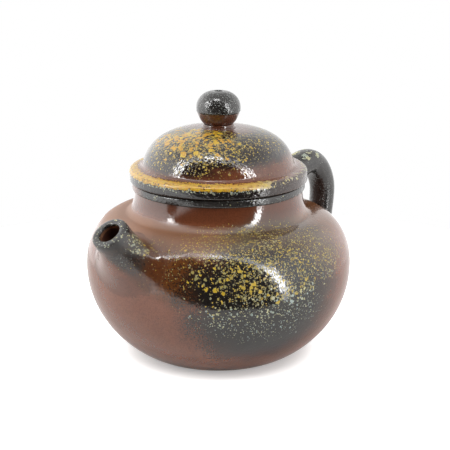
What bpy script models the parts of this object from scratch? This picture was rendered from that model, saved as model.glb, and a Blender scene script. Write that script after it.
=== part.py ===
"""A small hand-built clay teapot with a loose lid, as the separate clay members it is luted from.

The pot stands on z = 0 with its axis on Z, its spout towards -X and its handle towards +X.
Outlines are (radius, height) pairs. A table of two share pairs gives the handles of a Bezier
stretch as fractions of the way from its start to its end, first in radius and then in height.
"""

import math

import bmesh
import bpy
from mathutils import Matrix, Vector

MM = 0.001

# Clay and how its members meet
WALL = 2.8 * MM
LUTE_GAP = 0.3 * MM
OVERRUN = 6.0 * MM

# Neck and mouth
MOUTH_RADIUS = 22.9 * MM
NECK_WALL = 2.5 * MM
NECK_SPREAD = 4.4 * MM
NECK_HEIGHT = 6.55 * MM
NECK_SEAT_DEPTH = 0.9 * MM
NECK_SHARES = ((0.62, 0.132), (1.0, 0.45))
MOUTH_RING_OVERHANG = 0.7 * MM
MOUTH_RING_HEIGHT = 1.95 * MM
RING_ROUNDING = 0.55 * MM

# Belly
BELLY_SWELL = 10.6 * MM
BELLY_LEVEL = 27.7 * MM
BASE_RADIUS = 21.8 * MM
BASE_LAND = 2.3 * MM
SHOULDER_LEVEL = 44.4 * MM
LOWER_BELLY_SHARES = ((0.265, 0.052), (1.0, 0.397))
UPPER_BELLY_SHARES = ((0.0, 0.545), (0.412, 0.862))

# Lid
LID_CLEARANCE = 0.3 * MM
BRIM_OVERHANG = 0.75 * MM
BRIM_EDGE_HEIGHT = 2.5 * MM
BRIM_HEIGHT = 4.25 * MM
BRIM_SHARES = ((0.0, 0.88), (0.34, 0.9))
FLANGE_CLEARANCE = 0.4 * MM
FLANGE_WALL = 2.3 * MM
FLANGE_DEPTH = 7.2 * MM
LEDGE_WIDTH = 3.85 * MM
DOME_RISE = 12.05 * MM
DOME_WALL = 2.6 * MM
DOME_SHARES = ((0.07, 0.68), (0.36, 1.0))

# Knob on the lid, with the vent through both
KNOB_RADIUS = 6.6 * MM
KNOB_FOOT_RADIUS = 5.2 * MM
KNOB_WAIST_RADIUS = 4.75 * MM
KNOB_FOOT_HEIGHT = 0.6 * MM
KNOB_SWELL_LEVEL = 4.8 * MM
KNOB_HEIGHT = 9.75 * MM
KNOB_FLARE_SHARES = ((0.3, 0.3), (1.0, 0.6))
KNOB_CROWN_SHARES = ((0.0, 0.55), (0.44, 1.0))
VENT_RADIUS = 1.1 * MM

# Spout
SPOUT_ROOT_LEVEL = 39.8 * MM
SPOUT_ROOT_RADIUS = 8.1 * MM
SPOUT_ROOT_EDGE = 0.6 * MM
SPOUT_TIP_RADIUS = 5.4 * MM
SPOUT_BORE_RADIUS = 3.2 * MM
SPOUT_REACH = 3.05 * MM
SPOUT_DROP = 7.8 * MM
SPOUT_LIP = 0.5 * MM
SPOUT_TIP_PITCH = math.radians(54.0)
SPOUT_SHANK_PITCH = math.radians(46.0)
SPOUT_ROOT_PULL = 2.2 * MM
SPOUT_TIP_PULL = 5.5 * MM
SPOUT_BORE_PULL = 4.5 * MM
SPOUT_FLARE_PULL = 1.5 * MM

# Strainer in the wall behind the spout
STRAINER_RADIUS = 6.2 * MM
STRAINER_WALL = 1.5 * MM
STRAINER_DEPTH = 5.0 * MM
STRAINER_RIM = 1.4 * MM
STRAINER_HOLE_RADIUS = 0.8 * MM
STRAINER_HOLE_RINGS = ((1, 0.0), (6, 29.0), (11, 56.0))

# Handle
HANDLE_THICKNESS = 7.8 * MM
HANDLE_TAPER_SHARE = 0.2
HANDLE_WIDTH = 8.4 * MM
HANDLE_REACH = 12.25 * MM
HANDLE_SIDE_LEVEL = 41.5 * MM
HANDLE_TOP_REACH = 0.6 * MM
HANDLE_TOP_DROP = 1.15 * MM
HANDLE_UPPER_ROOT_LEVEL = 43.9 * MM
HANDLE_LOWER_ROOT_LEVEL = 19.5 * MM
HANDLE_ROOT_SPREAD = 1.5 * MM
HANDLE_ROOT_EDGE = 0.5 * MM
HANDLE_ROOT_PULL = 3.5 * MM
HANDLE_UPPER_PULL = 5.5 * MM
HANDLE_LOWER_PULL = 8.0 * MM
HANDLE_LOWER_PITCH = math.radians(20.0)
HANDLE_BEND_SHARE = 0.46
HANDLE_LOWER_BEND_SHARE = 0.27
HANDLE_INNER_SHARE = 0.88
HANDLE_SQUARENESS = 2.3

# How finely round forms are divided
TURN_STEPS = 60
KNOB_STEPS = 32
STRAINER_STEPS = 24
OUTLINE_STEPS = 8
SPOUT_SIDES = 28
SPOUT_STEPS = 7
HANDLE_SIDES = 18
HANDLE_STEPS = 7
HANDLE_TAIL_STEPS = 11
ROOT_STEPS = 4
HOLE_SIDES = 8
LEDGE_STEPS = 5
SHARP_ANGLE = math.radians(38.0)

# Radii, levels and places that follow from the sizes above
NECK_RADIUS = MOUTH_RADIUS + NECK_WALL
SHOULDER_RADIUS = NECK_RADIUS + NECK_SPREAD
BELLY_RADIUS = SHOULDER_RADIUS + BELLY_SWELL
NECK_TOP = SHOULDER_LEVEL + NECK_HEIGHT
MOUTH_RING_FOOT = NECK_TOP + LUTE_GAP
RIM_LEVEL = MOUTH_RING_FOOT + MOUTH_RING_HEIGHT
MOUTH_RING_RADIUS = NECK_RADIUS + MOUTH_RING_OVERHANG
BRIM_RADIUS = MOUTH_RING_RADIUS + BRIM_OVERHANG
DOME_RADIUS = BRIM_RADIUS - LEDGE_WIDTH
LID_SEAT = RIM_LEVEL + LID_CLEARANCE
DOME_FOOT = BRIM_HEIGHT + LUTE_GAP
DOME_TOP = DOME_FOOT + DOME_RISE
KNOB_FOOT = DOME_TOP + LUTE_GAP
HUB = Vector((0.0, 0.0, BELLY_LEVEL))
ACROSS = Vector((0.0, 1.0, 0.0))

CLAY = (0.235, 0.125, 0.088)
DARK_CLAY = (0.075, 0.062, 0.055)
INNER_CLAY = (0.20, 0.105, 0.07)
SPECKLED = (0.20, 0.14, 0.075)


# Outlines

def stretch(start, end, handle_shares, steps):
    """Points of a Bezier stretch from start to end, without start itself."""
    near, far = [
        tuple(a + (b - a) * share for a, b, share in zip(start, end, pair))
        for pair in handle_shares
    ]
    points = []
    for step in range(1, steps + 1):
        t = step / steps
        weights = ((1 - t) ** 3, 3 * t * (1 - t) ** 2, 3 * t * t * (1 - t), t ** 3)
        corners = (start, near, far, end)
        points.append(tuple(sum(w * c[i] for w, c in zip(weights, corners)) for i in (0, 1)))
    return points


def inset(points, depth):
    """An outline that runs up the outside, moved towards the inside by depth."""
    moved = []
    for index, (radius, height) in enumerate(points):
        before = points[max(index - 1, 0)]
        after = points[min(index + 1, len(points) - 1)]
        run, rise = after[0] - before[0], after[1] - before[1]
        length = math.hypot(run, rise)
        moved.append((radius - depth * rise / length, height + depth * run / length))
    return moved


def shoulder_pitch():
    """How far the shoulder climbs for each unit that it runs inwards."""
    far_radius_share, far_height_share = UPPER_BELLY_SHARES[1]
    run = (1 - far_radius_share) * (BELLY_RADIUS - SHOULDER_RADIUS)
    rise = (1 - far_height_share) * (SHOULDER_LEVEL - BELLY_LEVEL)
    return rise / run


def belly_outline():
    """Outside of the belly, from the edge of the base up to the foot of the neck."""
    base = (BASE_RADIUS, 0.0)
    widest = (BELLY_RADIUS, BELLY_LEVEL)
    shoulder = (SHOULDER_RADIUS, SHOULDER_LEVEL)
    lower = stretch(base, widest, LOWER_BELLY_SHARES, OUTLINE_STEPS)
    return [base] + lower + stretch(widest, shoulder, UPPER_BELLY_SHARES, OUTLINE_STEPS)


def neck_outline():
    """Outside of the neck above the shoulder, hollowed into it by a soft fillet."""
    foot = (SHOULDER_RADIUS, SHOULDER_LEVEL)
    return stretch(foot, (NECK_RADIUS, NECK_TOP), NECK_SHARES, OUTLINE_STEPS)


def on_body(outline, point, lift):
    """Where the line from the hub through point leaves the body, raised by lift along its normal."""
    pitch = math.atan2(point.z - HUB.z, math.hypot(point.x, point.y))
    turn = math.atan2(point.y, point.x)
    pitches = [math.atan2(height - HUB.z, radius) for radius, height in outline]
    index = max(1, next((i for i, p in enumerate(pitches) if p >= pitch), len(pitches) - 1))
    (r0, z0), (r1, z1) = outline[index - 1], outline[index]
    facing = Vector((math.cos(pitch), math.sin(pitch)))
    along = Vector((r1 - r0, z1 - z0))
    to_start = Vector((r0, z0 - HUB.z))
    share = -to_start.cross(facing) / along.cross(facing)
    normal = Vector((along.y, -along.x)).normalized() * lift
    radius = r0 + along.x * share + normal.x
    return Vector((radius * math.cos(turn), radius * math.sin(turn), z0 + along.y * share + normal.y))


def body_normal(outline, point):
    """Outward direction of the body's surface at point."""
    return (on_body(outline, point, MM) - on_body(outline, point, 0.0)).normalized()


# Meshes

def new_object(name, mesh, collection, material=None):
    """An object for mesh, linked to its collection."""
    thing = bpy.data.objects.new(name, mesh)
    collection.objects.link(thing)
    if material:
        mesh.materials.append(material)
    return thing


def settle(thing):
    """Turns an object's modifiers into its mesh, smooth but for its sharp edges."""
    bpy.context.view_layer.update()
    evaluated = thing.evaluated_get(bpy.context.evaluated_depsgraph_get())
    mesh = bpy.data.meshes.new_from_object(evaluated)
    thing.modifiers.clear()
    thing.data = mesh
    mesh.shade_smooth()
    mesh.set_sharp_from_angle(angle=SHARP_ANGLE)
    return thing


def turned(name, profile, closed, steps, collection, material=None):
    """A turned member. Its profile runs down the outside, and closes on itself or on the axis."""
    mesh = bpy.data.meshes.new(name)
    shape = bmesh.new()
    corners = [shape.verts.new((radius, 0.0, height)) for radius, height in profile]
    for first, second in zip(corners, corners[1:] + corners[:1] if closed else corners[1:]):
        shape.edges.new((first, second))
    shape.to_mesh(mesh)
    shape.free()
    thing = new_object(name, mesh, collection, material)
    screw = thing.modifiers.new("turn", "SCREW")
    screw.angle = 2 * math.pi
    screw.steps = steps
    screw.render_steps = steps
    screw.use_merge_vertices = True
    screw.merge_threshold = MM / 100
    screw.use_normal_calculate = False
    return settle(thing)


def lofted(name, rings, closed, collection, material=None):
    """Skins rings of equally many points, and either closes the last on the first or caps both."""
    mesh = bpy.data.meshes.new(name)
    shape = bmesh.new()
    loops = [[shape.verts.new(point) for point in ring] for ring in rings]
    for lower, upper in zip(loops, loops[1:] + loops[:1] if closed else loops[1:]):
        for index, corner in enumerate(lower):
            after = (index + 1) % len(lower)
            shape.faces.new((corner, lower[after], upper[after], upper[index]))
    if not closed:
        shape.faces.new(list(reversed(loops[0])))
        shape.faces.new(loops[-1])
    bmesh.ops.recalc_face_normals(shape, faces=shape.faces)
    shape.to_mesh(mesh)
    shape.free()
    return settle(new_object(name, mesh, collection, material))


def cut(thing, cutter):
    """Takes the cutter's shape out of thing."""
    boolean = thing.modifiers.new("cut", "BOOLEAN")
    boolean.operation = "DIFFERENCE"
    boolean.solver = "EXACT"
    boolean.object = cutter
    return settle(thing)


def as_cutter(thing):
    """Marks thing as a tool that isn't part of the pot."""
    thing.hide_render = True
    thing.display_type = "WIRE"
    return thing


def clay(name, colour, roughness):
    """A fired clay surface."""
    material = bpy.data.materials.new(name)
    material.use_nodes = True
    shader = material.node_tree.nodes["Principled BSDF"]
    shader.inputs["Base Color"].default_value = (*colour, 1.0)
    shader.inputs["Roughness"].default_value = roughness
    shader.inputs["Metallic"].default_value = 0.0
    return material


def blend_curve(start, start_pull, end, end_pull, steps):
    """Points strictly between start and end on the Bezier with these two handle vectors."""
    corners = (start, start + start_pull, end + end_pull, end)
    points = []
    for step in range(1, steps):
        t = step / steps
        weights = ((1 - t) ** 3, 3 * t * (1 - t) ** 2, 3 * t * t * (1 - t), t ** 3)
        points.append(sum((c * w for w, c in zip(weights, corners)), Vector()))
    return points


# Body

def make_base_disc(parts, material):
    """The slab that closes the bottom inside the belly's lower edge."""
    edge = BASE_RADIUS - BASE_LAND - LUTE_GAP
    top = inset(belly_outline(), WALL)[0][1]
    profile = [(0.0, top), (edge, top), (edge, 0.0), (0.0, 0.0)]
    return turned("base_disc", profile, False, TURN_STEPS, parts, material)


def neck_seat(radius):
    """Height of the sloping seat that the belly's top gives the neck, at a radius."""
    return SHOULDER_LEVEL - NECK_SEAT_DEPTH + (SHOULDER_RADIUS - radius) * shoulder_pitch()


def make_lower_belly(parts, material):
    """The lower of the two bowls that are luted rim to rim into the belly, with the land it stands on."""
    outside = belly_outline()
    inside = inset(outside, WALL)
    land = BASE_RADIUS - BASE_LAND
    profile = list(reversed(outside[:OUTLINE_STEPS + 1]))
    profile += [(land, 0.0), (land, inside[0][1])]
    profile += inside[:OUTLINE_STEPS]
    profile.append((BELLY_RADIUS - WALL, BELLY_LEVEL))
    return turned("lower_belly", profile, True, TURN_STEPS, parts, material)


def make_upper_belly(parts, material):
    """The upper bowl, from the belly's widest line up to the sloping seat of the neck."""
    outside = belly_outline()
    inside = inset(outside, WALL)
    seam = BELLY_LEVEL + LUTE_GAP
    throat = inside[-1][1] + (inside[-1][0] - MOUTH_RADIUS) * shoulder_pitch()
    profile = list(reversed(outside[OUTLINE_STEPS + 1:]))
    profile += [(BELLY_RADIUS, seam), (BELLY_RADIUS - WALL, seam)]
    profile += inside[OUTLINE_STEPS + 1:]
    profile += [(MOUTH_RADIUS, throat), (MOUTH_RADIUS, neck_seat(MOUTH_RADIUS))]
    profile.append((SHOULDER_RADIUS, neck_seat(SHOULDER_RADIUS)))
    return turned("upper_belly", profile, True, TURN_STEPS, parts, material)


def make_neck_collar(parts, material):
    """The neck's coil, let into the shoulder and smoothed outside to a soft hollow."""
    lift = LUTE_GAP * math.hypot(1.0, shoulder_pitch())
    edge = SHOULDER_RADIUS - LUTE_GAP
    outside = [point for point in neck_outline() if point[0] < edge]
    profile = list(reversed(outside))
    profile.append((edge, SHOULDER_LEVEL + LUTE_GAP * shoulder_pitch()))
    profile.append((edge, neck_seat(edge) + lift))
    profile += [(MOUTH_RADIUS, neck_seat(MOUTH_RADIUS) + lift), (MOUTH_RADIUS, NECK_TOP)]
    return turned("neck_collar", profile, True, TURN_STEPS, parts, material)


def make_mouth_ring(parts, material):
    """The raised band round the mouth that the lid's brim meets."""
    soft = RING_ROUNDING
    flat = MOUTH_RING_RADIUS - soft
    profile = [
        (flat, RIM_LEVEL),
        (MOUTH_RING_RADIUS, RIM_LEVEL - soft),
        (MOUTH_RING_RADIUS, MOUTH_RING_FOOT + soft),
        (flat, MOUTH_RING_FOOT),
        (MOUTH_RADIUS, MOUTH_RING_FOOT),
        (MOUTH_RADIUS, RIM_LEVEL),
    ]
    return turned("mouth_ring", profile, True, TURN_STEPS, parts, material)


# Spout and strainer

def spout_root(outline):
    """Root centre on the belly, and the directions out of and up along the surface there."""
    guess = Vector((-BELLY_RADIUS, 0.0, SPOUT_ROOT_LEVEL))
    centre = on_body(outline, guess, 0.0)
    out = body_normal(outline, centre)
    return centre, out, out.cross(ACROSS)


def root_ring(outline, centre, up, half_height, half_width, sides, lift):
    """An oval round centre, laid on the body's surface and raised by lift."""
    ring = []
    for side in range(sides):
        angle = 2 * math.pi * side / sides
        offset = up * half_height * math.cos(angle) + ACROSS * half_width * math.sin(angle)
        ring.append(on_body(outline, centre + offset, lift))
    return ring


def make_spout(outline, parts, material):
    """The pouring spout: a flared foot smoothed on to the belly and a short upturned tube."""
    centre, _, up = spout_root(outline)
    tip = Vector((-BELLY_RADIUS - SPOUT_REACH, 0.0, RIM_LEVEL - SPOUT_DROP))
    flow = Vector((-math.cos(SPOUT_SHANK_PITCH), 0.0, math.sin(SPOUT_SHANK_PITCH)))
    facing = Vector((-math.cos(SPOUT_TIP_PITCH), 0.0, math.sin(SPOUT_TIP_PITCH)))
    rise = facing.cross(ACROSS)

    def tip_ring(radius, back):
        angles = [2 * math.pi * side / SPOUT_SIDES for side in range(SPOUT_SIDES)]
        middle = tip - flow * back
        return [middle + (rise * math.cos(a) + ACROSS * math.sin(a)) * radius for a in angles]

    def foot_ring(radius, lift):
        return root_ring(outline, centre, up, radius, radius, SPOUT_SIDES, lift)

    foot_lift = LUTE_GAP + SPOUT_ROOT_EDGE
    foot = foot_ring(SPOUT_ROOT_RADIUS, foot_lift)
    inner_foot = foot_ring(SPOUT_ROOT_RADIUS - SPOUT_ROOT_EDGE, foot_lift)
    shank = tip_ring(SPOUT_TIP_RADIUS, SPOUT_LIP)
    meridians = [
        blend_curve(a, (b - a).normalized() * SPOUT_ROOT_PULL, c, -flow * SPOUT_TIP_PULL, SPOUT_STEPS)
        for a, b, c in zip(foot, inner_foot, shank)
    ]
    rings = [foot] + [list(ring) for ring in zip(*meridians)] + [shank]
    rings.append(tip_ring(SPOUT_TIP_RADIUS - SPOUT_LIP, 0.0))
    rings.append(tip_ring(SPOUT_BORE_RADIUS + SPOUT_LIP, 0.0))
    bore_top = tip_ring(SPOUT_BORE_RADIUS, SPOUT_LIP)
    bore_foot = foot_ring(STRAINER_RADIUS + LUTE_GAP, LUTE_GAP)
    bores = [
        blend_curve(a, -flow * SPOUT_BORE_PULL, b, (c - b).normalized() * SPOUT_FLARE_PULL, ROOT_STEPS)
        for a, b, c in zip(bore_top, bore_foot, foot_ring(SPOUT_BORE_RADIUS, LUTE_GAP))
    ]
    rings += [bore_top] + [list(ring) for ring in zip(*bores)] + [bore_foot]
    span = SPOUT_ROOT_RADIUS - STRAINER_RADIUS - LUTE_GAP
    for step in range(1, ROOT_STEPS + 1):
        rings.append(foot_ring(STRAINER_RADIUS + LUTE_GAP + span * step / ROOT_STEPS, LUTE_GAP))
    return lofted("spout", rings, True, parts, material)


def strainer_place(outline):
    """Matrix that sets the strainer's rim in the wall, its dome hanging into the chamber."""
    centre, out, up = spout_root(outline)
    seat = centre - out * WALL
    return Matrix.Translation(seat) @ Matrix((ACROSS, up, out)).transposed().to_4x4()


def make_strainer_hole(outline, cutters):
    """The round hole through the upper bowl that the strainer sits in."""
    radius = STRAINER_RADIUS + LUTE_GAP
    profile = [(0.0, OVERRUN), (radius, OVERRUN), (radius, -OVERRUN), (0.0, -OVERRUN)]
    hole = turned("strainer_seat_cutter", profile, False, STRAINER_STEPS, cutters)
    hole.matrix_world = strainer_place(outline)
    return as_cutter(hole)


def make_strainer_drills(cutters):
    """All the small holes of the strainer, as one set of pins that point at the dome's middle."""
    mesh = bpy.data.meshes.new("strainer_hole_cutter")
    shape = bmesh.new()
    near = STRAINER_RADIUS - STRAINER_WALL - STRAINER_HOLE_RADIUS * 2
    far = STRAINER_RADIUS + OVERRUN / 2
    for count, tilt in STRAINER_HOLE_RINGS:
        for index in range(count):
            spin = Matrix.Rotation(2 * math.pi * index / count, 4, "Z")
            lean = Matrix.Rotation(math.radians(180.0 - tilt), 4, "Y")
            middle = Matrix.Translation(Vector((0.0, 0.0, (near + far) / 2)))
            bmesh.ops.create_cone(
                shape,
                cap_ends=True,
                segments=HOLE_SIDES,
                radius1=STRAINER_HOLE_RADIUS,
                radius2=STRAINER_HOLE_RADIUS,
                depth=far - near,
                matrix=spin @ lean @ middle,
            )
    shape.to_mesh(mesh)
    shape.free()
    return as_cutter(new_object("strainer_hole_cutter", mesh, cutters))


def dome_arc(radius, depth, steps):
    """A quarter of an oval from the rim down to the axis."""
    angles = [math.pi / 2 * step / steps for step in range(steps + 1)]
    return [(radius * math.cos(a) if a < math.pi / 2 else 0.0, -depth * math.sin(a)) for a in angles]


def make_strainer(outline, parts, cutters, material):
    """The pierced dome behind the spout that holds back the leaves."""
    outside = dome_arc(STRAINER_RADIUS, STRAINER_DEPTH, OUTLINE_STEPS)
    thin_radius, thin_depth = STRAINER_RADIUS - STRAINER_WALL, STRAINER_DEPTH - STRAINER_WALL
    inside = dome_arc(thin_radius, thin_depth, OUTLINE_STEPS)
    profile = list(reversed(inside))
    profile += [(thin_radius, STRAINER_RIM), (STRAINER_RADIUS, STRAINER_RIM)]
    profile += outside
    strainer = turned("strainer", profile, False, STRAINER_STEPS, parts, material)
    cut(strainer, make_strainer_drills(cutters))
    strainer.matrix_world = strainer_place(outline)
    return strainer


# Handle

def handle_section(place, along, run_share):
    """One ring of the handle: an oval a little flatter on the side that faces the pot."""
    size_share = 1.0 + HANDLE_TAPER_SHARE * (0.5 - run_share)
    outward = along.cross(ACROSS)
    ring = []
    for side in range(HANDLE_SIDES):
        angle = 2 * math.pi * side / HANDLE_SIDES
        reach, spread = math.cos(angle), math.sin(angle)
        reach = math.copysign(abs(reach) ** (2 / HANDLE_SQUARENESS), reach)
        spread = math.copysign(abs(spread) ** (2 / HANDLE_SQUARENESS), spread)
        thick = HANDLE_THICKNESS / 2 * size_share * (HANDLE_INNER_SHARE if reach < 0 else 1.0)
        wide = HANDLE_WIDTH / 2 * size_share
        ring.append(place + outward * reach * thick + ACROSS * spread * wide)
    return ring


def handle_line(outline):
    """Centre line of the handle with its directions, from the upper root to the lower one."""
    upper = on_body(outline, Vector((NECK_RADIUS, 0.0, HANDLE_UPPER_ROOT_LEVEL)), LUTE_GAP)
    lower = on_body(outline, Vector((BELLY_RADIUS, 0.0, HANDLE_LOWER_ROOT_LEVEL)), LUTE_GAP)
    top = Vector((BELLY_RADIUS + HANDLE_TOP_REACH, 0.0, RIM_LEVEL - HANDLE_TOP_DROP))
    side = Vector((BELLY_RADIUS + HANDLE_REACH - HANDLE_THICKNESS / 2, 0.0, HANDLE_SIDE_LEVEL))
    level, down = Vector((1.0, 0.0, 0.0)), Vector((0.0, 0.0, -1.0))
    leave = (top - upper).normalized() * HANDLE_UPPER_PULL
    slant = Vector((math.cos(HANDLE_LOWER_PITCH), 0.0, math.sin(HANDLE_LOWER_PITCH)))
    arrive = slant * HANDLE_LOWER_PULL
    half = level * (top - upper).x * HANDLE_BEND_SHARE
    corner_run = level * (side - top).x * HANDLE_BEND_SHARE
    corner_drop = down * (top - side).z * HANDLE_BEND_SHARE
    tail = down * (side - lower).z * HANDLE_LOWER_BEND_SHARE
    line = [upper] + blend_curve(upper, leave, top, -half, HANDLE_STEPS)
    line += [top] + blend_curve(top, corner_run, side, -corner_drop, HANDLE_STEPS)
    line += [side] + blend_curve(side, tail, lower, arrive, HANDLE_TAIL_STEPS) + [lower]
    places = []
    for index in range(1, len(line) - 1):
        places.append((line[index], (line[index + 1] - line[index - 1]).normalized()))
    return upper, lower, places


def handle_root(outline, centre, along):
    """Rings that close one end of the handle against the body, from its middle to its smoothed edge."""
    upwards = along.cross(ACROSS)
    half_height = HANDLE_THICKNESS / 2 + HANDLE_ROOT_SPREAD
    half_width = HANDLE_WIDTH / 2 + HANDLE_ROOT_SPREAD
    rings = []
    for step in range(1, ROOT_STEPS + 1):
        share = step / ROOT_STEPS
        size = (half_height * share, half_width * share)
        rings.append(root_ring(outline, centre, upwards, *size, HANDLE_SIDES, LUTE_GAP))
    edge_lift = LUTE_GAP + HANDLE_ROOT_EDGE
    edge = root_ring(outline, centre, upwards, half_height, half_width, HANDLE_SIDES, edge_lift)
    thin = (half_height - HANDLE_ROOT_EDGE, half_width - HANDLE_ROOT_EDGE)
    inner = root_ring(outline, centre, upwards, *thin, HANDLE_SIDES, edge_lift)
    return rings + [edge], inner


def root_blend(edge, inner, section, along):
    """Rings that carry a root's edge into a section of the handle."""
    meridians = [
        blend_curve(a, (b - a).normalized() * HANDLE_ROOT_PULL, c, -along * HANDLE_ROOT_PULL, ROOT_STEPS)
        for a, b, c in zip(edge, inner, section)
    ]
    return [list(ring) for ring in zip(*meridians)]


def make_handle(outline, parts, material):
    """The ear-shaped handle, thinned a little towards its lower root and smoothed on at both ends."""
    upper, lower, places = handle_line(outline)
    count = len(places)
    body = [handle_section(*place, index / count) for index, place in enumerate(places)][2:-2]
    first, last = places[2][1], places[-3][1]
    top_rings, top_inner = handle_root(outline, upper, first)
    low_rings, low_inner = handle_root(outline, lower, last)
    rings = top_rings + root_blend(top_rings[-1], top_inner, body[0], first) + body
    low_blend = root_blend(low_rings[-1], low_inner, body[-1], -last)
    rings += list(reversed(low_blend)) + list(reversed(low_rings))
    return lofted("handle", rings, False, parts, material)


# Lid, modelled from its seat on the mouth ring upwards

def make_lid_flange(parts, material):
    """The ring under the lid that drops into the mouth and keeps the lid centred."""
    outer = MOUTH_RADIUS - FLANGE_CLEARANCE
    inner = outer - FLANGE_WALL
    soft = RING_ROUNDING
    profile = [
        (outer, -LUTE_GAP),
        (outer, soft - FLANGE_DEPTH),
        (outer - soft, -FLANGE_DEPTH),
        (inner + soft, -FLANGE_DEPTH),
        (inner, soft - FLANGE_DEPTH),
        (inner, -LUTE_GAP),
    ]
    return turned("lid_flange", profile, True, TURN_STEPS, parts, material)


def make_lid_brim(parts, material):
    """The lid's flat band over the mouth ring, with a ledge that climbs to the dome."""
    soft = RING_ROUNDING
    edge = (BRIM_RADIUS, BRIM_EDGE_HEIGHT)
    ledge = stretch(edge, (DOME_RADIUS, BRIM_HEIGHT), BRIM_SHARES, LEDGE_STEPS)
    profile = list(reversed(ledge)) + [edge, (BRIM_RADIUS, soft)]
    profile += [(BRIM_RADIUS - soft, 0.0), (DOME_RADIUS - DOME_WALL, 0.0)]
    profile.append((DOME_RADIUS - DOME_WALL, BRIM_HEIGHT))
    return turned("lid_brim", profile, True, TURN_STEPS, parts, material)


def make_lid_dome(parts, material):
    """The lid's domed top, pierced at its crown."""
    foot = (DOME_RADIUS, DOME_FOOT)
    outside = [foot] + stretch(foot, (VENT_RADIUS, DOME_TOP), DOME_SHARES, OUTLINE_STEPS)
    inside = inset(outside, DOME_WALL)
    profile = list(reversed(outside)) + [(DOME_RADIUS - DOME_WALL, DOME_FOOT)]
    profile += inside[1:-1] + [(VENT_RADIUS, DOME_TOP - DOME_WALL)]
    return turned("lid_dome", profile, True, TURN_STEPS, parts, material)


def make_knob(parts, material):
    """The knob: a small foot, a waist, a swelling side and a round crown with the vent in it."""
    foot = (KNOB_FOOT_RADIUS, KNOB_FOOT)
    waist = (KNOB_WAIST_RADIUS, KNOB_FOOT + KNOB_FOOT_HEIGHT)
    swell = (KNOB_RADIUS, KNOB_FOOT + KNOB_SWELL_LEVEL)
    crown = (VENT_RADIUS, KNOB_FOOT + KNOB_HEIGHT)
    outside = [foot, waist] + stretch(waist, swell, KNOB_FLARE_SHARES, OUTLINE_STEPS // 2)
    outside += stretch(swell, crown, KNOB_CROWN_SHARES, OUTLINE_STEPS)
    profile = list(reversed(outside)) + [(VENT_RADIUS, KNOB_FOOT)]
    return turned("lid_knob", profile, True, KNOB_STEPS, parts, material)


def hang_on(parent, things):
    """Parents things to an empty, whose own place they take."""
    for thing in things:
        thing.parent = parent


def axis_empty(name, parts, height):
    """An empty on the pot's axis that a joint turns or slides about."""
    empty = bpy.data.objects.new(name, None)
    empty.location = (0.0, 0.0, height)
    parts.objects.link(empty)
    return empty


def clear_scene():
    """Removes the objects that a new file starts with."""
    for thing in list(bpy.data.objects):
        bpy.data.objects.remove(thing, do_unlink=True)


def new_collection(name):
    """A collection in the scene."""
    collection = bpy.data.collections.new(name)
    bpy.context.scene.collection.children.link(collection)
    return collection


def main():
    """Builds the whole pot."""
    clear_scene()
    parts = new_collection("clay_teapot")
    cutters = new_collection("cutters")
    outline = belly_outline() + neck_outline()

    make_base_disc(parts, clay("base_clay", CLAY, 0.6))
    make_lower_belly(parts, clay("lower_belly_glaze", CLAY, 0.28))
    upper_belly = make_upper_belly(parts, clay("upper_belly_glaze", CLAY, 0.28))
    cut(upper_belly, make_strainer_hole(outline, cutters))
    make_neck_collar(parts, clay("neck_glaze", CLAY, 0.3))
    make_mouth_ring(parts, clay("mouth_ring_glaze", DARK_CLAY, 0.35))
    make_spout(outline, parts, clay("spout_glaze", DARK_CLAY, 0.32))
    make_strainer(outline, parts, cutters, clay("strainer_clay", INNER_CLAY, 0.6))
    make_handle(outline, parts, clay("handle_glaze", DARK_CLAY, 0.38))

    lift_axis = axis_empty("lid_lift_axis", parts, LID_SEAT)
    turn_axis = axis_empty("lid_turn_axis", parts, 0.0)
    turn_axis.parent = lift_axis
    flange = make_lid_flange(parts, clay("flange_clay", INNER_CLAY, 0.55))
    brim = make_lid_brim(parts, clay("brim_glaze", SPECKLED, 0.35))
    dome = make_lid_dome(parts, clay("dome_glaze", SPECKLED, 0.28))
    knob = make_knob(parts, clay("knob_glaze", DARK_CLAY, 0.35))
    hang_on(lift_axis, [flange])
    hang_on(turn_axis, [brim, dome, knob])


if __name__ == "__main__":
    main()
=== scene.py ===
"""Dresses the packed clay teapot: glazed skins over its clay members, a pale floor and studio light.

The pot stands on z = 0 with its axis on Z, its spout towards -X and its handle towards +X.
Outlines are (radius, height) pairs. Turns round the axis are counted in degrees from the side
that the photograph shows, positive towards the handle. Glazes count places in millimetres.
"""

import math
from functools import reduce

import bmesh
import bpy
from bpy.props import FloatProperty, FloatVectorProperty, IntProperty, PointerProperty
from mathutils import Matrix, Vector


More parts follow.
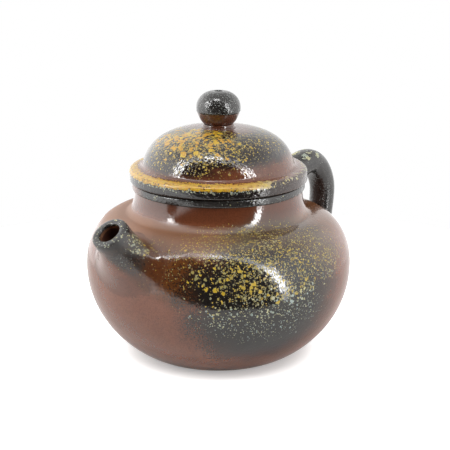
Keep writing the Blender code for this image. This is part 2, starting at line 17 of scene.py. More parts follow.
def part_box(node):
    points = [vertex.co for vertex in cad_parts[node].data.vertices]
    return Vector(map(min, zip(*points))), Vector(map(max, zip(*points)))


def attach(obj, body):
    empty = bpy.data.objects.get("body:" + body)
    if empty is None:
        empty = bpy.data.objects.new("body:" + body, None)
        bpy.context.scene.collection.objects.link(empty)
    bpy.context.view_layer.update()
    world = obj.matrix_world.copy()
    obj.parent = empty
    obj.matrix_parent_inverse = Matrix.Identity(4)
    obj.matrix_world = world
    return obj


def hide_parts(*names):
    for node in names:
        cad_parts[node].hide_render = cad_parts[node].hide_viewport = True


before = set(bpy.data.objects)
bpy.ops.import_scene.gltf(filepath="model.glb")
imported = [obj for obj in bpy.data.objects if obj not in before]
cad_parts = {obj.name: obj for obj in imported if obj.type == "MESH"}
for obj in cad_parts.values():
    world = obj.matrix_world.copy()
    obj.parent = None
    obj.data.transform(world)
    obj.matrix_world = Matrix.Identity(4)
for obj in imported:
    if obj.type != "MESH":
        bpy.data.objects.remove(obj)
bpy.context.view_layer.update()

bl_info = {
    "name": "Clay teapot dressing",
    "version": (1, 0, 0),
    "blender": (4, 5, 0),
    "location": "View3D > Sidebar > Teapot",
    "description": "Builds the glazed surfaces of a small clay teapot over its packed members",
    "category": "Add Mesh",
}

MM = 0.001
ACROSS = Vector((0.0, 1.0, 0.0))
PHOTO_TURN = math.radians(45.0)
RUN = "run"
SHARP_ANGLE = math.radians(50.0)
RELIEF_DEPTH = 0.03 * MM
GLAZE_REFRACTION = 1.7
CLAY_REFRACTION = 1.5
FLOOR_GAP = 0.02 * MM
ROUND_STEPS = 5
LIP_STEPS = 4
BRIDGE_STEPS = 12
SEAT_SIDES = 48
FLOOR_SIDES = 96
SPOUT_FLANK = (0.0, -0.62, 0.78)

# Where the marks of the firing lie on the belly: turn, half their width, level, half their height,
# and how many degrees they lean for each millimetre of height.
MARKS = {
    "dusk": (34.0, 33.0, 39.5, 8.5, 0.0),
    "amber": (-17.0, 20.0, 34.0, 8.0, -1.0),
    "black": (20.0, 36.0, 29.0, 12.6, -0.5),
    "low black": (21.0, 34.5, 24.0, 16.8, 0.15),
    "back black": (-158.0, 30.0, 30.0, 13.0, 0.0),
    "heart": (18.0, 30.0, 32.6, 8.0, -1.3),
    "back heart": (-158.0, 24.0, 35.0, 6.5, 0.0),
    "dust": (18.0, 54.0, 37.0, 9.0, 0.0),
    "drops": (21.0, 33.0, 23.5, 9.0, 0.0),
    "pale flecks": (14.0, 28.0, 27.0, 6.2, 0.0),
}

# Round marks on the spout and beside it: their centre and how far they reach.
SPOTS = {
    "spray": ((-37.0, -7.6, 41.4), 7.4),
    "smudge": ((-41.0, -5.0, 38.2), 8.8),
    "smoke": ((-41.5, -3.5, 41.5), 9.0),
}

# The tent's opening as (turn, climb) corners in degrees, first those with lamps between them, then its foot.
LAMP_CORNERS = ((-108, 4), (-108, 38), (-97, 59), (-66, 74), (-20, 58), (1, 38), (19, 2), (27, -40))
FOOT_CORNER = (-58, -27)

# Where the lamps shine brightest: turn, climb and reach in degrees.
LAMP_SPOTS = ((-62, 75, 13), (6, 12, 28), (-107, 27, 22), (-92, 54, 8))


def low(node):
    """Lowest corner of a CAD node."""
    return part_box(node)[0]


def high(node):
    """Highest corner of a CAD node."""
    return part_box(node)[1]


def length(name, description, default):
    """A size that a user may change, in metres."""
    return FloatProperty(name=name, description=description, default=default, unit="LENGTH", min=0.0)


def angle(name, description, degrees):
    """An angle that a user may change."""
    return FloatProperty(name=name, description=description, default=math.radians(degrees), subtype="ANGLE")


def colour(name, description, default):
    """A colour that a user may change."""
    return FloatVectorProperty(
        name=name, description=description, default=default, subtype="COLOR", size=3, min=0.0, max=1.0)


def count(name, description, default):
    """A number of steps that a user may change."""
    return IntProperty(name=name, description=description, default=default, min=3)


def amount(name, description, default):
    """A plain number that a user may change."""
    return FloatProperty(name=name, description=description, default=default)


class TeapotPot(bpy.types.PropertyGroup):
    """Sizes of the pot's body."""

    belly_radius: length("Belly radius", "Radius at the widest line", high("lower_belly").y)
    belly_level: length("Belly level", "Height of the widest line", high("lower_belly").z)
    base_radius: length("Base radius", "Radius of the flat that the pot stands on", 21.8 * MM)
    base_land: length("Base land", "Width of the ring of the base that touches the table", 2.9 * MM)
    base_hollow: length("Base hollow", "Depth of the hollow inside the land", 0.7 * MM)
    shoulder_radius: length("Shoulder radius", "Radius where the neck begins", 28.6 * MM)
    shoulder_level: length("Shoulder level", "Height where the neck begins", 43.6 * MM)
    neck_radius: length("Neck radius", "Radius under the mouth ring", 25.4 * MM)
    neck_top: length("Neck top", "Height of the neck's top", high("neck_collar").z)
    mouth_radius: length("Mouth radius", "Radius of the opening", 22.9 * MM)
    wall: length("Wall", "Thickness of the belly's wall", 2.8 * MM)
    ring_radius: length("Mouth ring radius", "Outer radius of the mouth ring", high("mouth_ring").y)
    rim_level: length("Rim level", "Height of the mouth ring's top", high("mouth_ring").z)
    ring_edge: length("Mouth ring edge", "How far its edges are rounded", 0.55 * MM)
    turn_steps: count("Turn steps", "Facets round the pot", 168)
    outline_steps: count("Outline steps", "Facets along each stretch of an outline", 24)


class TeapotSpout(bpy.types.PropertyGroup):
    """Sizes of the spout."""

    root_level: length("Root level", "Height of the spout's root", 39.8 * MM)
    root_height: length("Root height", "Half the height of the fillet's edge on the belly", 10.2 * MM)
    root_width: length("Root width", "Half the width of the fillet's edge", 15.5 * MM)
    root_sag: length("Root sag", "How far the fillet's middle lies below the spout's", 3.4 * MM)
    root_pull: length("Root pull", "How long the fillet follows the belly", 2.0 * MM)
    tip_radius: length("Tip radius", "Outer radius at the mouth", 5.4 * MM)
    bore_radius: length("Bore radius", "Radius of the hole", 3.2 * MM)
    reach: length("Reach", "How far the mouth's middle stands out from the belly", 3.05 * MM)
    drop: length("Drop", "How far the mouth's middle lies below the rim", 7.8 * MM)
    bore_foot: length("Bore foot", "Radius of the hole where it meets the wall", 4.6 * MM)
    lip: length("Lip", "How far the lip's edges are rounded", 0.8 * MM)
    tip_pull: length("Tip pull", "How long the shank runs straight", 3.4 * MM)
    tip_pitch: angle("Tip pitch", "How steeply the mouth faces up", 54.0)
    shank_pitch: angle("Shank pitch", "How steeply the shank climbs", 46.0)
    strainer_radius: length("Strainer radius", "Radius of the strainer's seat", 6.5 * MM)
    sides: count("Sides", "Facets round the spout", 72)
    steps: count("Steps", "Facets along the spout", 26)


class TeapotHandle(bpy.types.PropertyGroup):
    """Sizes of the handle."""

    thickness: length("Thickness", "Thickness seen from the side", 7.8 * MM)
    width: length("Width", "Width seen from behind", 8.4 * MM)
    reach: length("Reach", "How far the handle stands out from the belly", 12.25 * MM)
    side_level: length("Side level", "Height of its outermost point", 41.5 * MM)
    top_reach: length("Top reach", "How far out the top of its line lies", 0.6 * MM)
    top_drop: length("Top drop", "How far its line stays below the rim", 1.15 * MM)
    upper_level: length("Upper root level", "Height of its upper root", 43.9 * MM)
    lower_level: length("Lower root level", "Height of its lower root", 19.5 * MM)
    root_spread: length("Root spread", "How far the fillets spread on the body", 4.2 * MM)
    root_pull: length("Root pull", "How long the fillets follow the body", 4.2 * MM)
    upper_pull: length("Upper pull", "How long it leaves its upper root straight", 5.5 * MM)
    lower_pull: length("Lower pull", "How long it reaches its lower root straight", 8.0 * MM)
    lower_pitch: angle("Lower pitch", "How steeply it leaves its lower root", 20.0)
    sides: count("Sides", "Facets round the handle", 48)
    steps: count("Steps", "Facets along each bend", 14)
    tail_steps: count("Tail steps", "Facets along the lower bend", 22)


class TeapotLid(bpy.types.PropertyGroup):
    """Sizes of the lid."""

    seat_level: length("Seat level", "Height of the brim's underside", low("lid_brim").z)
    brim_radius: length("Brim radius", "Outer radius of the lid", high("lid_brim").y)
    edge_height: length("Edge height", "Height of the brim's upright edge", 2.5 * MM)
    brim_height: length("Brim height", "Height of the ledge where the dome begins", 4.25 * MM)
    brim_edge: length("Brim edge", "How far the brim's lower edge is rounded", 0.55 * MM)
    dome_radius: length("Dome radius", "Radius of the dome's foot", high("lid_dome").y)
    dome_top: length("Dome top", "Height of the dome's crown", high("lid_dome").z)
    dome_dip: length("Dome dip", "How far its crown lies lower under the knob", 0.9 * MM)
    dome_wall: length("Dome wall", "Thickness of the dome", 2.6 * MM)
    flange_radius: length("Flange radius", "Outer radius of the flange", high("lid_flange").y)
    flange_wall: length("Flange wall", "Thickness of the flange", 2.3 * MM)
    flange_foot: length("Flange foot", "Height of the flange's lower edge", low("lid_flange").z)
    vent_radius: length("Vent radius", "Radius of the vent", 1.1 * MM)
    knob_radius: length("Knob radius", "Radius of the knob", high("lid_knob").y)
    knob_waist: length("Knob waist", "Radius of the knob's waist", 4.4 * MM)
    knob_foot: length("Knob foot", "Height of the knob's foot", low("lid_knob").z)
    knob_line: length("Knob line", "Height of its glaze's lower edge above its foot", 3.5 * MM)
    knob_swell: length("Knob swell", "Height of its widest line above its foot", 4.95 * MM)
    knob_top: length("Knob top", "Height of the knob's top", high("lid_knob").z)
    knob_steps: count("Knob steps", "Facets round the knob", 72)


class TeapotGlaze(bpy.types.PropertyGroup):
    """Colours of the clay, the glaze and the ash on it."""

    brown: colour("Brown", "Red-brown glaze over the clay", (0.152, 0.046, 0.0195))
    tan: colour("Tan", "Dry brown of the shoulder", (0.185, 0.083, 0.036))
    amber: colour("Amber", "Thicker yellow-brown glaze", (0.090, 0.029, 0.004))
    dusk: colour("Dusk", "Brown-grey under the dust", (0.062, 0.044, 0.028))
    black: colour("Black", "Where the kiln blackened the glaze", (0.010, 0.008, 0.007))
    smoke: colour("Smoke", "Dull dark glaze of the spout and handle", (0.026, 0.023, 0.021))
    mustard: colour("Mustard", "Thick ash", (0.43, 0.225, 0.014))
    gold: colour("Gold", "Bright ash flecks", (0.47, 0.32, 0.018))
    olive: colour("Olive", "Thin ash dust", (0.27, 0.235, 0.075))
    cream: colour("Cream", "Pale ash flecks", (0.46, 0.47, 0.28))
    frost: colour("Frost", "Blue-grey ash dots", (0.29, 0.36, 0.335))
    clay: colour("Clay", "Bare fired clay", (0.26, 0.115, 0.07))


class TeapotStudio(bpy.types.PropertyGroup):
    """The light, the floor and the camera."""

    surround: amount("Surround", "Brightness of the white tent", 1.86)
    below: amount("Below", "Its brightness below the horizon", 1.6)
    overhead: amount("Overhead", "Its brightness straight above", 0.8)
    window: amount("Window", "Brightness seen through its opening", 0.025)
    strips: amount("Strips", "Brightness of the lamps along its opening", 19.0)
    floor_radius: length("Floor radius", "Radius of the pale floor", 0.16)
    floor_front: length("Floor front", "Where the floor is cut off towards the camera", 0.088)
    floor: colour("Floor", "Colour of the floor", (0.77, 0.758, 0.745))
    floor_lift: amount("Floor lift", "What the camera sees brighter", 0.85)
    distance: length("Distance", "From the camera to what it looks at", 0.36)
    aim: length("Aim", "Height that the camera looks at", 38.76 * MM)
    azimuth: angle("Azimuth", "Turn of the camera round the pot", -45.0)
    elevation: angle("Elevation", "Height of the camera above the horizon", 15.95)
    lens: amount("Lens", "Focal length in millimetres", 94.09)
    shift: amount("Shift", "Sideways shift as a share of the frame", 6.6 / 450)


GROUPS = {
    "teapot_pot": TeapotPot,
    "teapot_spout": TeapotSpout,
    "teapot_handle": TeapotHandle,
    "teapot_lid": TeapotLid,
    "teapot_glaze": TeapotGlaze,
    "teapot_studio": TeapotStudio,
}


# Outlines

def bezier(corners, steps):
    """Points strictly between the first and the last of a Bezier curve's corners."""
    size = len(corners) - 1
    points = []
    for step in range(1, steps):
        t = step / steps
        point = Vector((0.0,) * len(corners[0]))
        for index, corner in enumerate(corners):
            point += corner * (math.comb(size, index) * (1 - t) ** (size - index) * t ** index)
        points.append(point)
    return points


def stretch(start, end, handle_shares, steps):
    """Points of a Bezier stretch from start to end, without start itself."""
    handles = [[a + (b - a) * share for a, b, share in zip(start, end, pair)] for pair in handle_shares]
    corners = [Vector(corner) for corner in (start, *handles, end)]
    return [tuple(point) for point in bezier(corners, steps)] + [tuple(end)]


def inset(points, depth):
    """An outline that runs up the outside, moved towards the inside by depth."""
    moved = []
    for index, (radius, height) in enumerate(points):
        before = points[max(index - 1, 0)]
        after = points[min(index + 1, len(points) - 1)]
        run, rise = after[0] - before[0], after[1] - before[1]
        size = math.hypot(run, rise)
        moved.append((radius - depth * rise / size, height + depth * run / size))
    return moved


def softened(points, reach):
    """An outline whose corners are rounded, each by its own reach; zero leaves a corner as it is."""
    done = []
    for index, (point, cut) in enumerate(zip(points, reach)):
        if not cut:
            done.append(point)
            continue
        here = Vector(point)
        before = Vector(points[index - 1])
        after = Vector(points[(index + 1) % len(points)])
        start = here + (before - here).normalized() * cut
        end = here + (after - here).normalized() * cut
        done += [tuple(place) for place in (start, *bezier((start, here, end), ROUND_STEPS), end)]
    return done


def belly_outline(pot):
    """Outside of the belly, from the edge of the base up to the foot of the neck."""
    base = (pot.base_radius, 0.0)
    widest = (pot.belly_radius, pot.belly_level)
    shoulder = (pot.shoulder_radius, pot.shoulder_level)
    lower = stretch(base, widest, ((0.265, 0.052), (1.0, 0.397)), pot.outline_steps)
    return [base] + lower + stretch(widest, shoulder, ((0.0, 0.58), (0.42, 0.97)), pot.outline_steps)


def body_outline(pot):
    """Outside of the belly and the hollowed neck."""
    foot = (pot.shoulder_radius, pot.shoulder_level)
    top = (pot.neck_radius, pot.neck_top)
    return belly_outline(pot) + stretch(foot, top, ((0.6, 0.03), (1.0, 0.4)), pot.outline_steps)


def toward(start, aim, distance):
    """The point at this distance from start in the direction of aim."""
    return start + (aim - start).normalized() * distance


def slope(side, pitch):
    """The direction that climbs at this pitch, towards the handle (1) or the spout (-1)."""
    return Vector((side * math.cos(pitch), 0.0, math.sin(pitch)))


def circle(steps):
    """Evenly spaced turns of a full circle."""
    return [2 * math.pi * step / steps for step in range(steps)]


def middle_of(points):
    """The middle of a ring of points."""
    return sum(points, Vector()) / len(points)


class BodySurface:
    """The turned outside of the body, on which the spout and the handle are laid."""

    def __init__(self, pot):
        self.outline = body_outline(pot)
        self.hub = Vector((0.0, 0.0, pot.belly_level))

    def spot(self, point, lift=0.0):
        """Where the line from the hub through point leaves the body, raised by lift along its normal."""
        hub = self.hub
        pitch = math.atan2(point.z - hub.z, math.hypot(point.x, point.y))
        turn = math.atan2(point.y, point.x)
        pitches = [math.atan2(height - hub.z, radius) for radius, height in self.outline]
        index = max(1, next((i for i, p in enumerate(pitches) if p >= pitch), len(pitches) - 1))
        (r0, z0), (r1, z1) = self.outline[index - 1], self.outline[index]
        facing = Vector((math.cos(pitch), math.sin(pitch)))
        along = Vector((r1 - r0, z1 - z0))
        share = -Vector((r0, z0 - hub.z)).cross(facing) / along.cross(facing)
        normal = Vector((along.y, -along.x)).normalized() * lift
        radius = r0 + along.x * share + normal.x
        return Vector((radius * math.cos(turn), radius * math.sin(turn), z0 + along.y * share + normal.y))

    def normal(self, point):
        """Outward direction of the surface at point."""
        return (self.spot(point, MM) - self.spot(point)).normalized()

    def pieces(self):
        """The outline's straight pieces with their lengths."""
        for (r0, z0), (r1, z1) in zip(self.outline, self.outline[1:]):
            yield r0, z0, r1, z1, math.hypot(r1 - r0, z1 - z0)

    def way_to(self, level):
        """Length along the outline up to this height."""
        way = 0.0
        for _, z0, _, z1, size in self.pieces():
            if z1 >= level:
                return way + size * (level - z0) / (z1 - z0)
            way += size
        return way

    def wrapped(self, way, turn, lift):
        """The point at this length along the outline and this turn, raised by lift."""
        for r0, z0, r1, z1, size in self.pieces():
            if way <= size:
                break
            way -= size
        along = Vector((r1 - r0, z1 - z0)) / size
        radius, height = Vector((r0, z0)) + along * way + Vector((along.y, -along.x)) * lift
        return Vector((radius * math.cos(turn), radius * math.sin(turn), height))

    def oval(self, centre, lengthways, half_length, half_width, sides, lift):
        """An oval round centre, laid on the surface and raised by lift."""
        ring = []
        for turn in circle(sides):
            offset = lengthways * half_length * math.cos(turn) + ACROSS * half_width * math.sin(turn)
            ring.append(self.spot(centre + offset, lift))
        return ring


# Meshes

def new_object(name, shape, materials=()):
    """An object made from a bmesh."""
    mesh = bpy.data.meshes.new(name)
    shape.to_mesh(mesh)
    shape.free()
    for material in materials:
        mesh.materials.append(material)
    made = bpy.data.objects.new(name, mesh)
    bpy.context.scene.collection.objects.link(made)
    return made


def place_mesh(name, shape, body, nodes, materials):
    """Turns a bmesh into a piece that rides on a body and stands for its CAD nodes."""
    bmesh.ops.recalc_face_normals(shape, faces=shape.faces)
    piece = new_object(name, shape, materials)
    piece.data.shade_smooth()
    piece.data.set_sharp_from_angle(angle=SHARP_ANGLE)
    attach(piece, body)
    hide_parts(*nodes)
    return piece


def turned_shape(outline, steps, closed):
    """A turned surface. Points on the axis become poles."""
    shape = bmesh.new()
    rings = []
    for radius, height in outline:
        if radius <= 0.0:
            rings.append([shape.verts.new((0.0, 0.0, height))])
            continue
        places = [(radius * math.cos(turn), radius * math.sin(turn), height) for turn in circle(steps)]
        rings.append([shape.verts.new(place) for place in places])
    for lower, upper in zip(rings, rings[1:] + rings[:1] if closed else rings[1:]):
        for step in range(steps):
            after = (step + 1) % steps
            corners = [lower[step % len(lower)], lower[after % len(lower)]]
            corners += [upper[after % len(upper)], upper[step % len(upper)]]
            shape.faces.new(list(dict.fromkeys(corners)))
    return shape


def lofted_shape(rings, runs, closed):
    """Skins rings of equally many points, each with its run: how far it stands from the body, in mm."""
    shape = bmesh.new()
    layer = shape.verts.layers.float.new(RUN)
    loops = []
    for ring, run in zip(rings, runs):
        loop = [shape.verts.new(point) for point in ring]
        for corner in loop:
            corner[layer] = run
        loops.append(loop)
    for lower, upper in zip(loops, loops[1:] + loops[:1] if closed else loops[1:]):
        for index, corner in enumerate(lower):
            after = (index + 1) % len(lower)
            shape.faces.new((corner, lower[after], upper[after], upper[index]))
    if not closed:
        for loop in (loops[0], loops[-1]):
            centre = shape.verts.new(middle_of([corner.co for corner in loop]))
            centre[layer] = 0.0
            for index, corner in enumerate(loop):
                shape.faces.new((corner, loop[(index + 1) % len(loop)], centre))
    return shape


# Node trees

class Term:
    """A socket of a node tree, so that shader sums are written as plain sums."""

    def __init__(self, recipe, socket):
        self.recipe = recipe
        self.socket = socket

    def sibling(self, name):
        """Another output of the same node."""
        return Term(self.recipe, self.socket.node.outputs[name])

    def maths(self, operation, *values, clamp=False):
        """A Math node of this kind over these values."""
        return self.recipe.node("Math", dict(enumerate(values)), operation=operation, use_clamp=clamp)

    def __add__(self, other):
        return self.maths("ADD", self, other)

    __radd__ = __add__

    def __sub__(self, other):
        return self.maths("SUBTRACT", self, other)

    def __rsub__(self, other):
        return self.maths("SUBTRACT", other, self)

    def __mul__(self, other):
        return self.maths("MULTIPLY", self, other)

    __rmul__ = __mul__

    def __truediv__(self, other):
        return self.maths("DIVIDE", self, other)

    def __pow__(self, other):
        return self.maths("POWER", self, other)

    def __neg__(self):
        return self.maths("MULTIPLY", self, -1.0)

    def __abs__(self):
        return self.maths("ABSOLUTE", self)

    def least(self, other):
        """The smaller of the two."""
        return self.maths("MINIMUM", self, other)

    def most(self, other):
        """The larger of the two."""
        return self.maths("MAXIMUM", self, other)

    def fraction(self):
        """What is left of it above the next lower whole number."""
        return self.maths("FRACT", self)

    def clamped(self):
        """Kept between zero and one."""
        return self.maths("ADD", self, 0.0, clamp=True)

    def rising(self, start, end):
        """Zero below start, one above end and smooth between; start may be the larger."""
        sockets = {"Value": self, "From Min": start, "From Max": end}
        return self.recipe.node("MapRange", sockets, output="Result", interpolation_type="SMOOTHSTEP")


class Recipe:
    """A node tree that is written term by term."""

    def __init__(self, tree):
        tree.nodes.clear()
        self.tree = tree

    def node(self, kind, sockets=None, output=0, **settings):
        """Adds a node: its type, then its settings, then the values or links of its sockets."""
        made = self.tree.nodes.new("ShaderNode" + kind)
        for name, value in settings.items():
            setattr(made, name, value)
        for name, value in (sockets or {}).items():
            socket = self.pick(made.inputs, name)
            if isinstance(value, Term):
                self.tree.links.new(value.socket, socket)
            elif socket.type == "RGBA" and len(value) == 3:
                socket.default_value = (*value, 1.0)
            else:
                socket.default_value = value
        return Term(self, self.pick(made.outputs, output))

    @staticmethod
    def pick(sockets, name):
        """The socket in use that has this name or number."""
        if isinstance(name, int):
            return sockets[name]
        return next(socket for socket in sockets if socket.enabled and socket.name == name)

    def mix(self, share, first, second):
        """The first colour, turned into the second by share."""
        return self.node("Mix", {"Factor": share, "A": first, "B": second}, "Result", data_type="RGBA")

    def vector(self, operation, *values, output="Vector"):
        """A Vector Math node of this kind over these values."""
        return self.node("VectorMath", dict(enumerate(values)), output, operation=operation)

    def measure(self, operation, *values):
        """The number that a Vector Math node of this kind gives."""
        return self.vector(operation, *values, output="Value")

    def upright(self, vector):
        """A vector's Z."""
        return self.node("SeparateXYZ", {"Vector": vector}, "Z")

    def close(self, kind, shader):
        """Connects the finished shader to the tree's output."""
        made = self.tree.nodes.new("ShaderNode" + kind)
        self.tree.links.new(shader.socket, made.inputs["Surface"])


class Glaze(Recipe):
    """A glaze that knows where it lies on the pot."""

    def __init__(self, name):
        self.material = bpy.data.materials.new(name)
        self.material.use_nodes = True
        super().__init__(self.material.node_tree)
        self.spot = self.node("TexCoord", output="Object")
        self.run = self.node("Attribute", output="Fac", attribute_name=RUN)
        self.height = self.upright(self.spot) * (1 / MM)
        self.radius = self.measure("LENGTH", self.vector("MULTIPLY", self.spot, (1.0, 1.0, 0.0))) * (1 / MM)

    def turn_from(self, middle):
        """Degrees round the axis from a turn of the photograph."""
        spun = self.node(
            "Mapping", {"Vector": self.spot, "Rotation": (0.0, 0.0, PHOTO_TURN - math.radians(middle))})
        across = self.node("SeparateXYZ", {"Vector": spun}, "X")
        return across.maths("ARCTAN2", across, -across.sibling("Y")) * math.degrees(1.0)

    def noise(self, size, detail=2.0, roughness=0.5, shift=0.0, output="Fac"):
        """Soft noise with lumps of this size in mm, moved by shift."""
        spot = self.vector("ADD", self.spot, (shift, shift, shift)) if shift else self.spot
        sockets = {"Vector": spot, "Scale": 1 / (size * MM), "Detail": detail, "Roughness": roughness}
        return self.node("TexNoise", sockets, output)

    def waves(self, size):
        """Slow swings about zero, with lumps of this size in mm, that make edges uneven."""
        return (self.noise(size, 4.0, 0.6, 0.5) - 0.5) * 1.5

    def grain(self):
        """Fine grain that frays the edges of smoked places."""
        return self.noise(0.45, 2.0, 0.6, 0.33).rising(0.35, 0.65)

    def ragged(self, size, amount, shift):
        """The spot, shaken by noise of this size by up to amount, both in mm."""
        shake = self.vector("SUBTRACT", self.noise(size, 1.0, 0.5, shift, "Color"), (0.5, 0.5, 0.5))
        return self.vector("ADD", self.spot, self.vector("MULTIPLY", shake, (amount * 2 * MM,) * 3))

    def flecks(self, size, share, shift=0.0, ragged=0.35, soft=0.07, most=0.62):
        """Flecks about size mm apart that grow and merge with share, and a random number for each."""
        spot = self.ragged(size * 0.6, size * ragged, shift + 0.013)
        spot = self.vector("ADD", spot, (shift, -shift, shift))
        cell = self.node(
            "TexVoronoi", {"Vector": spot, "Scale": 1 / (size * MM), "Randomness": 1.0}, "Distance")
        chance = self.node("SeparateColor", {"Color": cell.sibling("Color")}, "Red")
        reach = ((share - chance) * 1.4).clamped() ** 0.5 * most
        return (reach - cell).rising(0.0, soft), chance.sibling("Green")

    def away_from(self, mark):
        """How far a spot is from the middle of one of the firing's marks: one on the mark's edge."""
        middle, half, level, half_level, lean = MARKS[mark]
        turn = self.turn_from(middle)
        if lean:
            turn = turn - (self.height - level) * lean
        return (abs(turn) / half) ** 2.0 + (abs(self.height - level) / half_level) ** 2.0

    def inside(self, soft, wave, *marks):
        """One inside any of these marks, fading over soft at their edge, which wave makes uneven."""
        away = reduce(Term.least, [self.away_from(mark) for mark in marks])
        return (away + wave).rising(1.0 + soft, 1.0 - soft)

    def near(self, mark, wave=0.0):
        """One at the centre of a round mark, fading to zero at its reach."""
        centre, reach = SPOTS[mark]
        away = self.measure("DISTANCE", self.spot, [value * MM for value in centre])
        return (away * (1 / (reach * MM)) + wave).rising(1.0, 0.45)

    def finish(self, tint, rough, height, refraction=GLAZE_REFRACTION):
        """Closes the glaze with its colour, roughness and relief."""
        relief = self.node("Bump", {"Height": height, "Distance": RELIEF_DEPTH, "Strength": 1.0}, "Normal")
        sockets = {"Base Color": tint, "Roughness": rough, "Normal": relief, "IOR": refraction}
        shader = self.node("BsdfPrincipled", sockets, "BSDF")
        self.close("OutputMaterial", shader)
        return self.material


# Glazes

def shaded(tint, share):
    """A colour with this share of its brightness."""
    return [value * share for value in tint]


def brown_ground(glaze, tints):
    """The red-brown glaze with its slow drifts of colour, its grain and the iron specks in it."""
    drift = glaze.noise(14.0, 3.0, 0.55)
    ground = glaze.mix(drift.rising(0.38, 0.66), tints.brown, shaded(tints.brown, 0.82))
    mottle = glaze.noise(2.2, 3.0, 0.6, 0.07)
    ground = glaze.mix(mottle.rising(0.5, 0.72) * 0.3, ground, tints.amber)
    grain = glaze.noise(0.42, 2.0, 0.6, 0.21)
    ground = glaze.mix(grain.rising(0.38, 0.62) * 0.3, ground, shaded(tints.brown, 1.5))
    ground = glaze.mix(grain.rising(0.55, 0.35) * 0.3, ground, shaded(tints.brown, 0.4))
    specks, _ = glaze.flecks(0.7, glaze.noise(7.0, 1.0, 0.5, 0.11).rising(0.45, 0.7) * 0.16, 0.4)
    return glaze.mix(specks * 0.6, ground, tints.black)


def peel(glaze, grit=0.0):
    """The fine unevenness of a fired glaze, with this much more grit."""
    fine = glaze.noise(0.75, 1.0, 0.4, 0.3) * (grit * 4.0 + 0.5)
    return fine + glaze.noise(1.2, 2.0, 0.5, 0.2) * 1.1 + glaze.noise(3.0, 2.0, 0.5, 0.6) * 1.2


def ash_tint(glaze, tints, chance, pale, thin=1.0, mixed=0.0):
    """Colour of ash: olive to gold where it is thin, mustard to gold where thick, frost to cream where pale.

    Mixed makes every fleck paler or warmer than its neighbours.
    """
    base = glaze.mix(thin, tints.mustard, tints.olive)
    warm = glaze.mix(chance.rising(0.3, 0.8), base, tints.gold)
    cool = glaze.mix(chance.rising(0.2, 0.85), tints.frost, tints.cream)
    if mixed:
        pale = (((chance * 7.0).fraction() * 2.0 - 1.0) * mixed + pale).clamped()
    return glaze.mix(pale, warm, cool)


def spout_side(glaze, wave=0.0):
    """How far in mm a spot lies towards the spout's upper flank on the camera's side, made uneven by wave."""
    return glaze.measure("DOT_PRODUCT", glaze.spot, SPOUT_FLANK) * (1 / MM) + wave


def spout_spray(glaze):
    """Where ash caught on that flank, at the spout's foot."""
    return spout_side(glaze).rising(34.6, 36.4) * glaze.near("spray")


def spout_smoke(glaze, mark, wave):
    """Where smoke darkened that flank, within a round mark."""
    return spout_side(glaze, wave * 1.8).rising(28.6, 31.6) * glaze.near(mark, wave * 0.3)


def belly_ground(glaze, tints, wave, grain):
    """The belly's glaze without its ash, with its dry tan at the shoulder painted lighter on the left and
    darker towards the middle and right, and where it is amber and smudged.
    """
    ground = brown_ground(glaze, tints)
    shoulder = (glaze.height + wave * 3.0).rising(38.5, 42.5) * (glaze.height + wave * 0.7).rising(46.6, 44.6)
    # Painted light and shade: a lighter copy of the dry tan towards the left, a darker copy towards the middle
    # and right.
    leftwards = glaze.turn_from(-20.0).rising(10.0, -40.0)
    dry_tan_with_painted_light = glaze.mix(leftwards, shaded(tints.tan, 0.82), shaded(tints.tan, 1.3))
    ground = glaze.mix(shoulder * 0.75, ground, dry_tan_with_painted_light)
    ground = glaze.mix(glaze.inside(0.6, wave, "dusk") * 0.85, ground, tints.dusk)
    neck = (glaze.height + wave).rising(44.8, 47.5)
    ground = glaze.mix(neck * 0.55, ground, shaded(tints.brown, 0.5))
    amber = glaze.inside(0.5, wave, "amber")
    ground = glaze.mix(amber * 0.85, ground, tints.amber)
    ground = glaze.mix(amber * glaze.noise(0.6, 3.0, 0.6, 0.75).rising(0.48, 0.66) * 0.7, ground, tints.black)
    smoked = glaze.inside(0.5, wave * 0.6 + grain * 0.4 - 0.2, "black", "low black", "back black")
    ground = glaze.mix(smoked, ground, tints.black)
    smudge = spout_smoke(glaze, "smudge", wave)
    ground = glaze.mix(smudge * (0.95 - grain * 0.35), ground, tints.smoke)
    return ground, shoulder, amber, smudge


